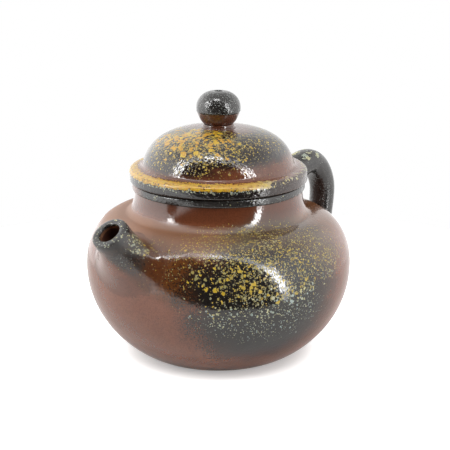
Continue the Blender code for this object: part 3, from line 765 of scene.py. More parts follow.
def belly_surface(glaze, tints):
    """The pot's own glaze: red-brown, blackened and dusted with ash where the flame passed.

    Gives its colour, its roughness and how much ash lies on it.
    """
    wave = glaze.waves(6.0)
    tint, shoulder, amber, smudge = belly_ground(glaze, tints, wave, glaze.grain())
    heart = glaze.inside(0.7, wave * 0.9, "heart").most(glaze.inside(0.6, wave, "back heart") * 0.8)
    dust = glaze.inside(0.7, wave, "dust")
    drops = glaze.inside(0.8, wave, "drops")
    under = glaze.inside(0.8, wave, "pale flecks")
    stray = glaze.noise(9.0, 2.0, 0.5, 0.9).rising(0.5, 0.75)
    spray = spout_spray(glaze)

    large, large_chance = glaze.flecks(1.45, heart * 0.37 + dust * 0.02 + under * 0.17, 0.0, 0.55, 0.1, 0.58)
    share = (heart * 0.68).most(dust * 0.42).most(drops * 0.22).most(under * 0.62).most(spray * 0.6)
    middle, middle_chance = glaze.flecks(0.82, share, 0.2, 0.55, 0.12)
    share = (dust * 0.74).most(heart * 0.72).most(drops * 0.5).most(spray * 0.6) * (1.0 - amber * 0.5)
    fine, fine_chance = glaze.flecks(0.43, share, 0.5, 0.45, 0.15)
    few, few_chance = glaze.flecks(0.8, stray * 0.05 + 0.008, 0.8)
    pale = glaze.turn_from(22.0) * 0.012 - (glaze.height - 31.0) * 0.13 + wave * 0.5 + spray * 1.8
    for flecks, chance, strength in (
        (fine, fine_chance, 0.85), (middle, middle_chance, 0.92), (large, large_chance.rising(-0.2, 0.6), 0.95),
        (few, few_chance, 0.6)):
        tint = glaze.mix(flecks * strength, tint, ash_tint(glaze, tints, chance, pale, 1.0, 0.5))
    ash = large.most(middle * 0.9).most(fine * 0.7).most(few)
    dry = shoulder * (glaze.turn_from(-35.0) + wave * 20.0).rising(75.0, 25.0)
    return tint, ash * 0.16 + dry * 0.4 + smudge * 0.12 + 0.11, ash


def pot_glaze(tints):
    """The glaze of the pot's outside."""
    glaze = Glaze("pot_glaze")
    tint, rough, ash = belly_surface(glaze, tints)
    return glaze.finish(tint, rough, peel(glaze, ash.most(0.12)) + ash * 0.5)


def smoked_glaze(name, tints, green):
    """The dull dark glaze of spout, handle and rims, with fine pale dots; green is where ash lies."""
    glaze = Glaze(name)
    ground = glaze.mix(glaze.noise(3.5, 3.0, 0.6).rising(0.35, 0.7), tints.smoke, tints.black)
    dots, chance = glaze.flecks(0.5, glaze.noise(4.0, 2.0, 0.5, 0.6).rising(0.3, 0.75) * 0.4 + 0.12, 0.1)
    tint = glaze.mix(dots * 0.42, ground, glaze.mix(chance, (0.20, 0.19, 0.17), tints.frost))
    ash, ash_chance = green(glaze)
    tint = glaze.mix(ash * 0.85, tint, ash_tint(glaze, tints, ash_chance, 0.7))
    return glaze, tint, dots, ash


def spout_glaze(tints):
    """The spout: smoked at its mouth and on its upper side, brown beneath like the belly."""
    def green(glaze):
        return glaze.flecks(0.55, (spout_spray(glaze) * 0.9).most(glaze.run.rising(7.4, 8.6) * 0.45), 0.3)

    glaze, tint, dots, ash = smoked_glaze("spout_glaze", tints, green)
    wave = glaze.waves(5.0)
    belly, belly_rough, belly_ash = belly_surface(glaze, tints)
    smoke = spout_smoke(glaze, "smoke", wave) * glaze.run.rising(0.4, 3.0)
    # Painted shade: inside the bore the glaze's brown is painted at 0.45 of its brightness.
    bore = glaze.run.rising(0.5, -0.5)
    smoke = (smoke * (0.95 - glaze.grain() * 0.3)).most((glaze.run + wave).rising(4.8, 7.4)) * (1.0 - bore)
    tint = glaze.mix(smoke, glaze.mix(bore, belly, shaded(tints.brown, 0.45)), tint)
    ash = (ash * smoke).most(belly_ash * (1.0 - smoke)) * (1.0 - bore)
    rough = belly_rough.most(smoke * 0.16 + ash * 0.1 + 0.11)
    relief = peel(glaze, ash.most(smoke * 0.6).most(0.12)) + smoke * dots * 0.5 + ash * 0.5
    return glaze.finish(tint, rough, relief)


def handle_glaze(tints):
    """The handle: smoked all over, with pale ash on its top, browner at its roots."""
    def green(glaze):
        face_up = glaze.upright(glaze.node("NewGeometry", output="Normal"))
        top = face_up.rising(0.1, 0.75) * glaze.height.rising(50.0, 53.5)
        patches = glaze.noise(3.5, 2.0, 0.6, 0.25).rising(0.34, 0.52)
        return glaze.flecks(1.6, top * patches * 0.95 + 0.01, 0.6, 0.6)

    glaze, tint, dots, ash = smoked_glaze("handle_glaze", tints, green)
    root = glaze.run.rising(3.5, 0.0)
    belly, rough, _ = belly_surface(glaze, tints)
    tint = glaze.mix(root, tint, belly)
    rough = root * rough + (1.0 - root) * (0.25 + ash * 0.15)
    return glaze.finish(tint, rough, peel(glaze, 0.6) + dots * 0.8 + ash * 0.9)


def ring_glaze(tints):
    """The mouth ring: black glaze with pale dots, brown round the far left."""
    def green(glaze):
        return glaze.flecks(0.6, glaze.noise(5.0, 2.0, 0.5, 0.4).rising(0.45, 0.75) * 0.35 + 0.05, 0.7)

    glaze, tint, dots, ash = smoked_glaze("mouth_ring_glaze", tints, green)
    left = abs(glaze.turn_from(-95.0)).rising(42.0, 22.0)
    tint = glaze.mix(left * 0.85, tint, brown_ground(glaze, tints))
    return glaze.finish(tint, 0.18 + ash * 0.1, peel(glaze, 0.9) + dots * 1.3)


def lid_glaze(tints):
    """The lid: mustard ash in merging patches, black between them and brown low on one side."""
    glaze = Glaze("lid_glaze")
    wave = glaze.waves(4.0)
    ground = glaze.mix(0.22, brown_ground(glaze, tints), tints.black)
    side = abs(glaze.turn_from(-30.0))
    left = abs(glaze.turn_from(-80.0))
    up = glaze.height

    black = (up + wave * 2.2 - side * 0.012).rising(58.9, 62.3)
    black = black.most((left + wave * 16.0).rising(95.0, 62.0) * (up + wave * 1.5).rising(57.6, 60.2))
    crown = (glaze.radius + wave * 3.0).rising(13.0, 7.0) * (side + wave * 20.0).rising(30.0, 80.0)
    crown = crown.most((glaze.radius + wave).rising(6.5, 5.2))
    tint = glaze.mix(black * (1.0 - crown * 0.9) * 0.95, ground, tints.black)

    rich = (side + wave * 26.0).rising(85.0, 20.0)
    high_up = (up + wave * 1.8).rising(61.5, 67.0)
    thick = rich * high_up * 0.7 + high_up * 0.1 + rich * (up + wave).rising(58.0, 62.0) * 0.2
    thin = high_up * 0.36 + rich * up.rising(57.5, 61.0) * 0.38 + 0.1
    bare = 1.0 - crown * 0.75
    patches, patch_chance = glaze.flecks(1.6, thick * bare, 0.0, 0.6, 0.08, 0.64)
    specks, speck_chance = glaze.flecks(0.75, thin * bare, 0.3, 0.5, 0.1)
    dust, dust_chance = glaze.flecks(0.42, (thin + 0.15) * bare, 0.7, 0.35, 0.15)

    grain = (glaze.noise(0.7, 2.0, 0.6, 0.4) - 0.5) * 3.0 + wave
    solid = (abs(glaze.turn_from(-62.0)) + wave * 16.0).rising(125.0, 70.0)
    on_ledge = (glaze.radius + grain * 0.6).rising(23.6, 25.2) * (up + grain * 0.35).rising(55.8, 56.4)
    holes, _ = glaze.flecks(0.7, glaze.noise(3.0, 2.0, 0.5, 0.8).rising(0.3, 0.65) * 0.7, 0.35, 0.55)
    band, band_chance = glaze.flecks(1.0, on_ledge * (solid * 1.25 + 0.42), 0.6, 0.7, 0.12, 1.0)
    band = band * (1.0 - holes * 0.8)
    near_edge = up + wave * 0.5
    lip = near_edge.rising(54.6, 55.7) * near_edge.rising(56.9, 56.2) * glaze.radius.rising(25.8, 26.3)
    fringe, _ = glaze.flecks(0.55, lip * solid * 0.85, 0.9, 0.4)
    drips, drip_chance = glaze.flecks(1.1, glaze.radius.rising(26.0, 26.6) * up.rising(53.4, 55.0) * 0.07, 0.5)
    dots, _ = glaze.flecks(0.42, 0.45, 0.1)

    rim = (glaze.radius + wave * 0.3).rising(25.2, 26.4)
    tint = glaze.mix(rim * (0.8 + solid * 0.2), tint, tints.black)
    tint = glaze.mix(rim * dots * 0.5, tint, (0.13, 0.12, 0.11))
    open_dome = 1.0 - rim
    tint = glaze.mix(dust * open_dome * 0.6, tint, ash_tint(glaze, tints, dust_chance, 0.15))
    tint = glaze.mix(specks * open_dome * 0.85, tint, ash_tint(glaze, tints, speck_chance, 0.05, 0.5))
    tint = glaze.mix(patches * open_dome, tint, ash_tint(glaze, tints, patch_chance * 0.7, 0.0, 0.0))
    tint = glaze.mix(fringe * 0.8, tint, ash_tint(glaze, tints, dust_chance, 0.8))
    tone = glaze.noise(0.8, 2.0, 0.6, 0.15).rising(0.35, 0.65) * 0.6 + band_chance * 0.4
    mottle = glaze.noise(1.3, 3.0, 0.6, 0.55).rising(0.5, 0.7)
    ash_band = ash_tint(glaze, tints, tone * 0.8, (1.0 - solid) * 0.5, (1.0 - solid) * 0.7)
    tint = glaze.mix(band, tint, glaze.mix(mottle * 0.6, ash_band, shaded(tints.mustard, 0.45)))
    tint = glaze.mix(drips * 0.9, tint, ash_tint(glaze, tints, drip_chance, 0.3))
    ash = (patches.most(specks * 0.8).most(dust * 0.5) * open_dome).most(band).most(drips).most(fringe)
    return glaze.finish(tint, 0.11 + ash * 0.16, peel(glaze, ash.most(0.6)) + ash * 0.6 + rim * dots * 0.8)


def knob_glaze(tints, line):
    """The knob: black glaze thick with pale dots above a crisp line, bare red-brown below it."""
    glaze = Glaze("knob_glaze")
    ground = glaze.mix(glaze.noise(2.5, 2.0, 0.5), tints.smoke, tints.black)
    dots, chance = glaze.flecks(0.4, 0.62, 0.1, 0.4, 0.12, 0.55)
    dark = glaze.mix(dots * 0.64, ground, glaze.mix(chance, (0.24, 0.22, 0.19), tints.frost))
    above = (glaze.height + (glaze.noise(4.0, 2.0) - 0.5) * 0.5).rising(line - 0.08, line + 0.08)
    tint = glaze.mix(above, glaze.mix(0.5, brown_ground(glaze, tints), tints.black), dark)
    return glaze.finish(tint, 0.13 + above * 0.06, peel(glaze, above) + above * dots * 0.7)


def bare_clay(name, tints, shade):
    """Unglazed fired clay, dull and slightly gritty."""
    glaze = Glaze(name)
    clouds = glaze.noise(6.0, 4.0, 0.6).rising(0.35, 0.7)
    tint = glaze.mix(clouds, shaded(tints.clay, shade), shaded(tints.clay, shade * 0.72))
    grit, chance = glaze.flecks(0.7, 0.22, 0.2)
    tint = glaze.mix(grit * 0.5, tint, glaze.mix(chance, shaded(tints.clay, 0.4), (0.4, 0.3, 0.22)))
    rough = 0.62 + glaze.noise(3.0) * 0.15
    return glaze.finish(tint, rough, glaze.noise(0.5, 3.0, 0.6) + grit * 0.8, CLAY_REFRACTION)


# Pieces

def spout_frame(pot, spout, body):
    """The spout's root, the ways out of and down the body there, its tip, and the ways along and down that."""
    centre = body.spot(Vector((-pot.belly_radius, 0.0, spout.root_level)))
    out = body.normal(centre)
    tip = Vector((-pot.belly_radius - spout.reach, 0.0, pot.rim_level - spout.drop))
    flow = slope(-1, spout.shank_pitch)
    return centre, out, out.cross(ACROSS), tip, flow, slope(-1, spout.tip_pitch).cross(ACROSS)


def make_body(scene, materials):
    """One glazed skin for the base, both bowls and the neck, open where the strainer sits."""
    pot, spout = scene.teapot_pot, scene.teapot_spout
    outside = body_outline(pot)
    inside = inset(belly_outline(pot), pot.wall)
    land = pot.base_radius - pot.base_land
    base = [(0.0, pot.base_hollow), (land - MM, pot.base_hollow), (land, 0.0)]
    throat_slope = 0.37
    throat_level = inside[-1][1] + (inside[-1][0] - pot.mouth_radius) * throat_slope
    throat = [inside[-1], (pot.mouth_radius, throat_level), (pot.mouth_radius, pot.neck_top)]
    bend = softened(throat, (0.0, pot.ring_edge * 2, 0.0))
    outline = base + outside + list(reversed(bend)) + list(reversed(inside[1:-1])) + [(0.0, inside[0][1])]
    piece = place_mesh(
        "pot_body", turned_shape(outline, pot.turn_steps, False), "pot",
        ("base_disc", "lower_belly", "upper_belly", "neck_collar"), materials)
    for index, face in enumerate(piece.data.polygons):
        row = index // pot.turn_steps
        face.material_index = 0 if len(base) <= row < len(base) + len(outside) else 1
    cut_strainer_seat(piece, pot, spout)


def cut_strainer_seat(piece, pot, spout):
    """Takes the strainer's round seat out of the wall behind the spout."""
    centre, out, down, *_ = spout_frame(pot, spout, BodySurface(pot))
    aligned = Matrix((ACROSS, down, out)).transposed().to_4x4()
    shape = bmesh.new()
    bmesh.ops.create_cone(
        shape, cap_ends=True, segments=SEAT_SIDES, radius1=spout.strainer_radius, radius2=spout.strainer_radius,
        depth=pot.wall * 4, matrix=Matrix.Translation(centre) @ aligned)
    cutter = new_object("strainer_seat_cutter", shape)
    boolean = piece.modifiers.new("strainer_seat", "BOOLEAN")
    boolean.operation = "DIFFERENCE"
    boolean.solver = "EXACT"
    boolean.object = cutter
    bpy.context.view_layer.update()
    cut = bpy.data.meshes.new_from_object(piece.evaluated_get(bpy.context.evaluated_depsgraph_get()))
    piece.modifiers.clear()
    piece.data = cut
    bpy.data.objects.remove(cutter)


def make_mouth_ring(scene, materials):
    """The raised band round the mouth."""
    pot = scene.teapot_pot
    tuck = MM * 0.05
    foot = pot.neck_top - tuck
    outline = [(pot.mouth_radius, foot), (pot.ring_radius, foot)]
    outline += [(pot.ring_radius, pot.rim_level), (pot.mouth_radius, pot.rim_level)]
    outline = softened(outline, (0.0, pot.ring_edge, pot.ring_edge, pot.ring_edge / 2))
    shape = turned_shape(outline, pot.turn_steps, True)
    place_mesh("mouth_ring_band", shape, "pot", ("mouth_ring",), materials)


def make_spout(scene, materials):
    """The spout: a soft fillet on the belly, a short upturned shank, a flat lip and the bore."""
    pot, spout = scene.teapot_pot, scene.teapot_spout
    body = BodySurface(pot)
    centre, _, down, tip, flow, tip_down = spout_frame(pot, spout, body)
    sides, depth = spout.sides, -pot.wall / 3

    def tip_ring(radius, back):
        middle = tip - flow * back
        return [middle + (tip_down * math.cos(t) + ACROSS * math.sin(t)) * radius for t in circle(sides)]

    def edge_ring(narrower, lift):
        ring = []
        for turn in circle(sides):
            fall = (spout.root_height - narrower) * math.cos(turn) + spout.root_sag
            across = (spout.root_width - narrower) * math.sin(turn) / -centre.x
            ring.append(body.wrapped(body.way_to(centre.z) - fall, math.pi - across, lift))
        return ring

    def seat_ring(radius):
        return body.oval(centre, down, radius, radius, sides, depth)

    pull = spout.root_pull
    foot = edge_ring(0.0, 0.0)
    shank = tip_ring(spout.tip_radius, spout.lip)
    meridians = [
        bezier((a, toward(a, b, pull), c, d - flow * spout.tip_pull, d), spout.steps)
        for a, b, c, d in zip(foot, edge_ring(MM, 0.0), edge_ring(pull * 2, MM * 0.25), shank)
    ]
    rings = [foot] + [list(ring) for ring in zip(*meridians)] + [shank]
    quarter = [math.pi / 2 * step / LIP_STEPS for step in range(LIP_STEPS + 1)]
    for turn in quarter[1:]:
        back = spout.lip * (1 - math.sin(turn))
        rings.append(tip_ring(spout.tip_radius - spout.lip * (1 - math.cos(turn)), back))
    soft = spout.lip * 0.75
    for turn in quarter:
        rings.append(tip_ring(spout.bore_radius + soft * (1 - math.sin(turn)), soft * (1 - math.cos(turn))))
    bore_top, bore_foot = rings[-1], seat_ring(spout.bore_foot)
    bores = [
        bezier((a, a - flow * spout.tip_pull, toward(b, c, MM), b), 8)
        for a, b, c in zip(bore_top, bore_foot, seat_ring(spout.bore_radius))
    ]
    rings += [list(ring) for ring in zip(*bores)]
    rings += [bore_foot, edge_ring(MM, depth), edge_ring(0.0, depth)]
    hidden = len(rings) - len(bores[0]) - 3
    runs = [max(0.0, (middle_of(ring) - centre).dot(flow)) / MM for ring in rings[:hidden]]
    runs += [-1.0] * (len(rings) - hidden)
    shape = lofted_shape(rings, runs, True)
    place_mesh("spout_skin", shape, "pot", ("spout",), materials)


def handle_section(handle, sides, place, along, run_share):
    """One ring of the handle: an oval a little flatter on the side that faces the pot."""
    taper_share, inner_share, squareness = 0.2, 0.88, 2.3
    size_share = 1.0 + taper_share * (0.5 - run_share)
    outward = along.cross(ACROSS)
    ring = []
    for turn in circle(sides):
        reach, spread = math.cos(turn), math.sin(turn)
        reach = math.copysign(abs(reach) ** (2 / squareness), reach)
        spread = math.copysign(abs(spread) ** (2 / squareness), spread)
        thick = handle.thickness / 2 * size_share * (inner_share if reach < 0 else 1.0)
        ring.append(place + outward * reach * thick + ACROSS * spread * handle.width / 2 * size_share)
    return ring


def handle_line(pot, handle, body):
    """Centre line of the handle with its directions, from the upper root to the lower one."""
    upper = body.spot(Vector((pot.neck_radius, 0.0, handle.upper_level)))
    lower = body.spot(Vector((pot.belly_radius, 0.0, handle.lower_level)))
    top = Vector((pot.belly_radius + handle.top_reach, 0.0, pot.rim_level - handle.top_drop))
    side = Vector((pot.belly_radius + handle.reach - handle.thickness / 2, 0.0, handle.side_level))
    level, down = Vector((1.0, 0.0, 0.0)), Vector((0.0, 0.0, -1.0))
    bend_share, lower_bend_share = 0.46, 0.27
    leave = (top - upper).normalized() * handle.upper_pull
    arrive = slope(1, handle.lower_pitch) * handle.lower_pull
    half = level * (top - upper).x * bend_share
    corner_run = level * (side - top).x * bend_share
    corner_drop = down * (top - side).z * bend_share
    tail = down * (side - lower).z * lower_bend_share
    line = [upper] + bezier((upper, upper + leave, top - half, top), handle.steps)
    line += [top] + bezier((top, top + corner_run, side - corner_drop, side), handle.steps)
    line += [side] + bezier((side, side + tail, lower + arrive, lower), handle.tail_steps) + [lower]
    places = []
    for index in range(1, len(line) - 1):
        places.append((line[index], (line[index + 1] - line[index - 1]).normalized()))
    return upper, lower, places


def make_handle(scene, materials):
    """The ear-shaped handle, smoothed on to the body at both ends."""
    pot, handle = scene.teapot_pot, scene.teapot_handle
    surface = BodySurface(pot)
    upper, lower, places = handle_line(pot, handle, surface)
    sides, total = handle.sides, len(places)
    top_skip_share, low_skip_share = 3 / 7, 3 / 11
    skip_top = round(handle.steps * top_skip_share) - 1
    skip_low = round(handle.tail_steps * low_skip_share) - 1
    middle = [
        handle_section(handle, sides, *place, index / total) for index, place in enumerate(places)
    ][skip_top:total - skip_low]
    first, last = places[skip_top][1], places[total - skip_low - 1][1]

    def root(centre, along):
        lengthways = along.cross(ACROSS)
        tall = handle.thickness / 2 + handle.root_spread
        wide = handle.width / 2 + handle.root_spread

        def ring(share, lift, narrower=0.0):
            size = (tall * share - narrower, wide * share - narrower)
            return surface.oval(centre, lengthways, *size, sides, lift)

        edge = [ring(0.5, -pot.wall / 2), ring(1.0, -pot.wall / 4), ring(1.0, 0.0)]
        return edge, ring(1.0, 0.0, MM), ring(1.0, MM * 0.1, handle.root_pull)

    def bridge(edge, inner, inmost, section, along):
        meridians = [
            bezier((a, toward(a, b, handle.root_pull / 2), c, d - along * handle.root_pull, d), BRIDGE_STEPS)
            for a, b, c, d in zip(edge[-1], inner, inmost, section)
        ]
        return [list(ring) for ring in zip(*meridians)]

    top_rings, *top_inner = root(upper, first)
    low_rings, *low_inner = root(lower, last)
    top_bridge = bridge(top_rings, *top_inner, middle[0], first)
    low_bridge = bridge(low_rings, *low_inner, middle[-1], -last)
    rings = top_rings + top_bridge + middle + low_bridge[::-1] + low_rings[::-1]
    middles = [middle_of(ring) for ring in rings]
    runs = [min((place - upper).length, (place - lower).length) / MM for place in middles]
    shape = lofted_shape(rings, runs, False)
    place_mesh("handle_skin", shape, "pot", ("handle",), materials)


def make_flange(scene, materials):
    """The ring under the lid that drops into the mouth."""
    lid = scene.teapot_lid
    inner = lid.flange_radius - lid.flange_wall
    tuck = MM * 0.1
    top = lid.seat_level - tuck
    outline = [(lid.flange_radius, top), (lid.flange_radius, lid.flange_foot)]
    outline += [(inner, lid.flange_foot), (inner, top)]
    outline = softened(outline, (0.0, lid.brim_edge, lid.brim_edge, 0.0))
    shape = turned_shape(outline, scene.teapot_pot.turn_steps, True)
    place_mesh("lid_flange_ring", shape, "lid_seat", ("lid_flange",), materials)


def make_lid(scene, materials):
    """The lid's brim, ledge and dome, hollow below and pierced at the crown."""
    lid = scene.teapot_lid
    seat, brim = lid.seat_level, lid.brim_radius
    edge = (brim, seat + lid.edge_height)
    crease = (lid.dome_radius, seat + lid.brim_height)
    throat = (lid.dome_radius - lid.dome_wall, seat)
    ledge = stretch(edge, crease, ((0.0, 0.88), (0.34, 0.9)), 12)
    dome = stretch(crease, (lid.vent_radius, lid.dome_top - lid.dome_dip), ((0.07, 0.734), (0.41, 1.061)), 48)
    hollow = inset([crease] + dome, lid.dome_wall)
    outline = softened([throat, (brim, seat), edge], (0.0, lid.brim_edge, 0.0))
    outline += ledge[:-3] + bezier([Vector(corner) for corner in (ledge[-4], crease, dome[1])], 8) + dome[1:]
    under = [point for point in reversed(hollow) if point[0] > lid.vent_radius]
    outline += [(lid.vent_radius, under[0][1])] + under
    shape = turned_shape(outline, scene.teapot_pot.turn_steps, True)
    place_mesh("lid_shell", shape, "lid", ("lid_brim", "lid_dome"), materials)


def make_knob(scene, materials):
    """The knob: two small steps at its foot, a waist, the swell, and a round crown with the vent."""
    lid = scene.teapot_lid
    foot, vent, narrow = lid.knob_foot, lid.vent_radius, lid.knob_waist
    waist = (narrow, foot + MM * 0.1)
    swell = (lid.knob_radius, foot + lid.knob_swell)
    line = foot + lid.knob_line
    crown = (vent + MM * 0.35, lid.knob_top)
    glaze_depth = MM * 0.09
    side = [
        (min(radius + (glaze_depth if height > line else 0.0), lid.knob_radius), height)
        for radius, height in stretch(waist, swell, ((0.42, 0.12), (1.0, 0.62)), 24)
    ]
    sunk, plinth = foot - MM * 1.5, narrow + MM * 0.9
    steps = [(vent, sunk), (plinth, sunk), (plinth, foot - MM * 0.95), (narrow + MM * 0.3, foot - MM * 0.8)]
    steps += [(narrow + MM * 0.33, foot - MM * 0.25), waist]
    outline = softened(steps, (0.0, 0.0, MM * 0.25, MM * 0.2, MM * 0.25, MM * 0.25))
    outline += side + stretch(swell, crown, ((0.0, 0.55), (0.44, 1.0)), 30)
    outline += [(vent + MM * 0.08, lid.knob_top - MM * 0.12), (vent, lid.knob_top - MM * 0.5)]
    shape = turned_shape(outline, lid.knob_steps, True)
    place_mesh("knob_skin", shape, "lid", ("lid_knob",), materials)


# Studio

def heading(azimuth, elevation):
    """Direction from the pot towards a place round it, both in degrees; zero azimuth lies towards -Y."""
    turn, climb = math.radians(azimuth), math.radians(elevation)
    return Vector((math.sin(turn) * math.cos(climb), -math.cos(turn) * math.cos(climb), math.sin(climb)))


def make_world(scene):
    """A white tent round the pot, with an opening towards the camera and lamps along its edges."""
    studio = scene.teapot_studio
    corners = [heading(*place) for place in (*LAMP_CORNERS, FOOT_CORNER, LAMP_CORNERS[0])]
    world = bpy.data.worlds.new("white_tent")
    world.use_nodes = True
    scene.world = world
    tent = Recipe(world.node_tree)
    ray = tent.node("TexCoord", output="Generated")

    def facing(azimuth, elevation):
        return tent.measure("DOT_PRODUCT", ray, heading(azimuth, elevation))

    *lamp_margins, foot, left = [
        tent.measure("DOT_PRODUCT", ray, after.cross(here).normalized())
        for here, after in zip(corners, corners[1:])
    ]
    edge = reduce(Term.least, lamp_margins)
    foot = foot.rising(-0.45, 0.05) * left.rising(-0.14, 0.09) * facing(-42, 20).rising(-0.25, -0.2)
    bright = 0.25
    for azimuth, elevation, reach in LAMP_SPOTS:
        start, full = math.cos(math.radians(reach)), math.cos(math.radians(reach / 2))
        bright = facing(azimuth, elevation).rising(start, full) + bright
    opening = edge.rising(-0.005, 0.015) * foot
    lamps = edge.rising(-0.1, -0.085) * edge.rising(0.0, -0.012) * foot
    height = tent.upright(ray)
    tent_light = studio.surround - height.rising(0.05, -0.1) * (studio.surround - studio.below)
    tent_light = tent_light - height.rising(0.4, 0.9) * (studio.surround - studio.overhead)
    behind = facing(128, 20).rising(0.8, 0.97)
    tent_light = tent_light * (facing(-135, 20) * 0.22 + 1.0) * (1.0 - behind * 0.35)
    light = tent_light * (1.0 - opening) + opening * studio.window + lamps * bright * studio.strips
    seen = tent.node("LightPath", output="Is Camera Ray")
    strength = seen + (1.0 - seen) * light
    tent.close("OutputWorld", tent.node("Background", {"Color": (1.0, 1.0, 1.0), "Strength": strength}))


def make_floor(scene):
    """A pale round sheet under the pot that the camera sees lifted to white, with a painted contact shadow
    where the lift is smaller near the pot's foot.
    """
    studio = scene.teapot_studio
    material = bpy.data.materials.new("pale_floor")
    material.use_nodes = True
    paper = Recipe(material.node_tree)
    seen = paper.node("LightPath", output="Is Camera Ray")
    grain = paper.node("TexNoise", {"Scale": 900.0, "Detail": 3.0}, "Fac")
    tint = paper.mix(grain.rising(0.3, 0.7), tuple(studio.floor), shaded(studio.floor, 0.985))
    away = paper.measure("LENGTH", paper.node("TexCoord", output="Object"))
    # Painted shadow: the camera's lift is full only beyond about 33 mm from the axis and falls to a third
    # nearer the pot.
    lift_with_painted_shadow = seen * (away.rising(0.0245, 0.0335) * 0.66 + 0.34)
    sockets = {"Base Color": tint, "Roughness": 0.9, "Specular IOR Level": 0.1, "Emission Strength": 1.0,
               "Emission Color": paper.mix(lift_with_painted_shadow, (0.0,) * 3, (studio.floor_lift,) * 3)}
    paper.close("OutputMaterial", paper.node("BsdfPrincipled", sockets, "BSDF"))
    shape = bmesh.new()
    bmesh.ops.create_circle(shape, cap_ends=True, segments=FLOOR_SIDES, radius=studio.floor_radius)
    front = heading(-30, 0)
    bmesh.ops.bisect_plane(
        shape, geom=[*shape.verts, *shape.edges, *shape.faces], plane_co=front * studio.floor_front,
        plane_no=front, clear_outer=True)
    floor = new_object("floor", shape, [material])
    floor.location = (0.0, 0.0, -FLOOR_GAP)


def make_camera(scene):
    """The camera, where the photograph was taken from."""
    studio = scene.teapot_studio
    back = heading(math.degrees(studio.azimuth), math.degrees(studio.elevation))
    data = bpy.data.cameras.new("camera")
    data.lens = studio.lens
    data.sensor_width = 36.0
    data.sensor_fit = "HORIZONTAL"
    data.shift_x = studio.shift
    data.clip_start = MM * 10
    camera = bpy.data.objects.new("camera", data)
    camera.location = Vector((0.0, 0.0, studio.aim)) + back * studio.distance
    camera.rotation_euler = back.to_track_quat("Z", "Y").to_euler()
    scene.collection.objects.link(camera)
    scene.camera = camera


# Operators

class TEAPOT_OT_studio(bpy.types.Operator):
    """Sets up the camera, the white tent and the pale floor"""

    bl_idname = "teapot.studio"
    bl_label = "Studio"
    bl_options = {"REGISTER", "UNDO"}

    def execute(self, context):
        """Sets the colour management and makes the camera, the world and the floor."""
        context.scene.view_settings.view_transform = "Standard"
        make_camera(context.scene)
        make_world(context.scene)
        make_floor(context.scene)
        return {"FINISHED"}


class TEAPOT_OT_body(bpy.types.Operator):
    """Makes the belly, neck, inside and base as one glazed skin"""

    bl_idname = "teapot.body"
    bl_label = "Body"
    bl_options = {"REGISTER", "UNDO"}

    def execute(self, context):
        """Makes the body's skin with its glaze and its bare clay."""
        tints = context.scene.teapot_glaze
        make_body(context.scene, [pot_glaze(tints), bare_clay("inner_clay", tints, 0.75)])
        return {"FINISHED"}


class TEAPOT_OT_mouth_ring(bpy.types.Operator):
    """Makes the raised band round the mouth"""

    bl_idname = "teapot.mouth_ring"
    bl_label = "Mouth ring"
    bl_options = {"REGISTER", "UNDO"}

    def execute(self, context):
        """Makes the mouth ring."""
        make_mouth_ring(context.scene, [ring_glaze(context.scene.teapot_glaze)])
        return {"FINISHED"}


class TEAPOT_OT_spout(bpy.types.Operator):
    """Makes the spout and finishes the strainer behind it"""

    bl_idname = "teapot.spout"
    bl_label = "Spout and strainer"
    bl_options = {"REGISTER", "UNDO"}

    def execute(self, context):
        """Makes the spout's skin and puts bare clay on the strainer's own mesh."""
        tints = context.scene.teapot_glaze
        make_spout(context.scene, [spout_glaze(tints)])
        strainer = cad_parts["strainer"]
        clay = bare_clay("strainer_clay", tints, 0.7)
        strainer.data.materials.clear()
        strainer.data.materials.append(clay)
        return {"FINISHED"}


class TEAPOT_OT_handle(bpy.types.Operator):
    """Makes the ear-shaped handle"""

    bl_idname = "teapot.handle"
    bl_label = "Handle"
    bl_options = {"REGISTER", "UNDO"}

    def execute(self, context):
        """Makes the handle's skin."""
        make_handle(context.scene, [handle_glaze(context.scene.teapot_glaze)])
        return {"FINISHED"}


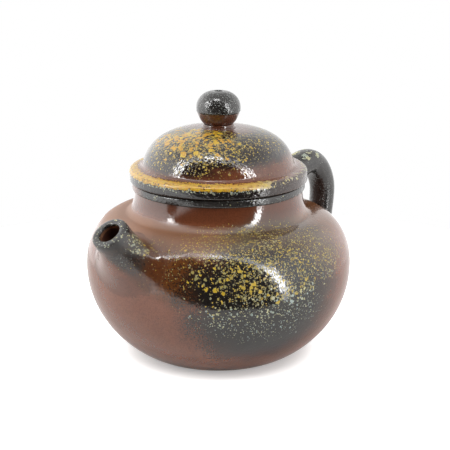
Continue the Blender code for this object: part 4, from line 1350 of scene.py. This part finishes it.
class TEAPOT_OT_lid(bpy.types.Operator):
    """Makes the lid with its flange"""

    bl_idname = "teapot.lid"
    bl_label = "Lid"
    bl_options = {"REGISTER", "UNDO"}

    def execute(self, context):
        """Makes the lid's shell and the flange under it."""
        tints = context.scene.teapot_glaze
        make_lid(context.scene, [lid_glaze(tints)])
        make_flange(context.scene, [bare_clay("flange_clay", tints, 0.85)])
        return {"FINISHED"}


class TEAPOT_OT_knob(bpy.types.Operator):
    """Makes the knob with the vent through it"""

    bl_idname = "teapot.knob"
    bl_label = "Knob"
    bl_options = {"REGISTER", "UNDO"}

    def execute(self, context):
        """Makes the knob's skin."""
        lid = context.scene.teapot_lid
        line = (lid.knob_foot + lid.knob_line) / MM
        make_knob(context.scene, [knob_glaze(context.scene.teapot_glaze, line)])
        return {"FINISHED"}


OPERATORS = (
    TEAPOT_OT_studio,
    TEAPOT_OT_body,
    TEAPOT_OT_mouth_ring,
    TEAPOT_OT_spout,
    TEAPOT_OT_handle,
    TEAPOT_OT_lid,
    TEAPOT_OT_knob,
)


class TEAPOT_PT_dressing(bpy.types.Panel):
    """Lists the teapot's pieces, sizes and colours in the sidebar"""

    bl_label = "Clay teapot"
    bl_space_type = "VIEW_3D"
    bl_region_type = "UI"
    bl_category = "Teapot"

    def draw(self, context):
        """Draws the operators and every property."""
        for operator in OPERATORS:
            self.layout.operator(operator.bl_idname)
        for name, group in GROUPS.items():
            box = self.layout.box()
            box.label(text=group.__doc__)
            for field in group.__annotations__:
                box.prop(getattr(context.scene, name), field)


def register():
    """Adds the classes and the scene's settings."""
    for made in (*GROUPS.values(), *OPERATORS, TEAPOT_PT_dressing):
        bpy.utils.register_class(made)
    for name, group in GROUPS.items():
        setattr(bpy.types.Scene, name, PointerProperty(type=group))


def unregister():
    """Takes them away again."""
    for name in GROUPS:
        delattr(bpy.types.Scene, name)
    for made in (TEAPOT_PT_dressing, *reversed(OPERATORS), *reversed(GROUPS.values())):
        bpy.utils.unregister_class(made)


def main():
    """Builds everything in order."""
    register()
    for operator in OPERATORS:
        group, name = operator.bl_idname.split(".")
        getattr(getattr(bpy.ops, group), name)()


if __name__ == "__main__":
    main()
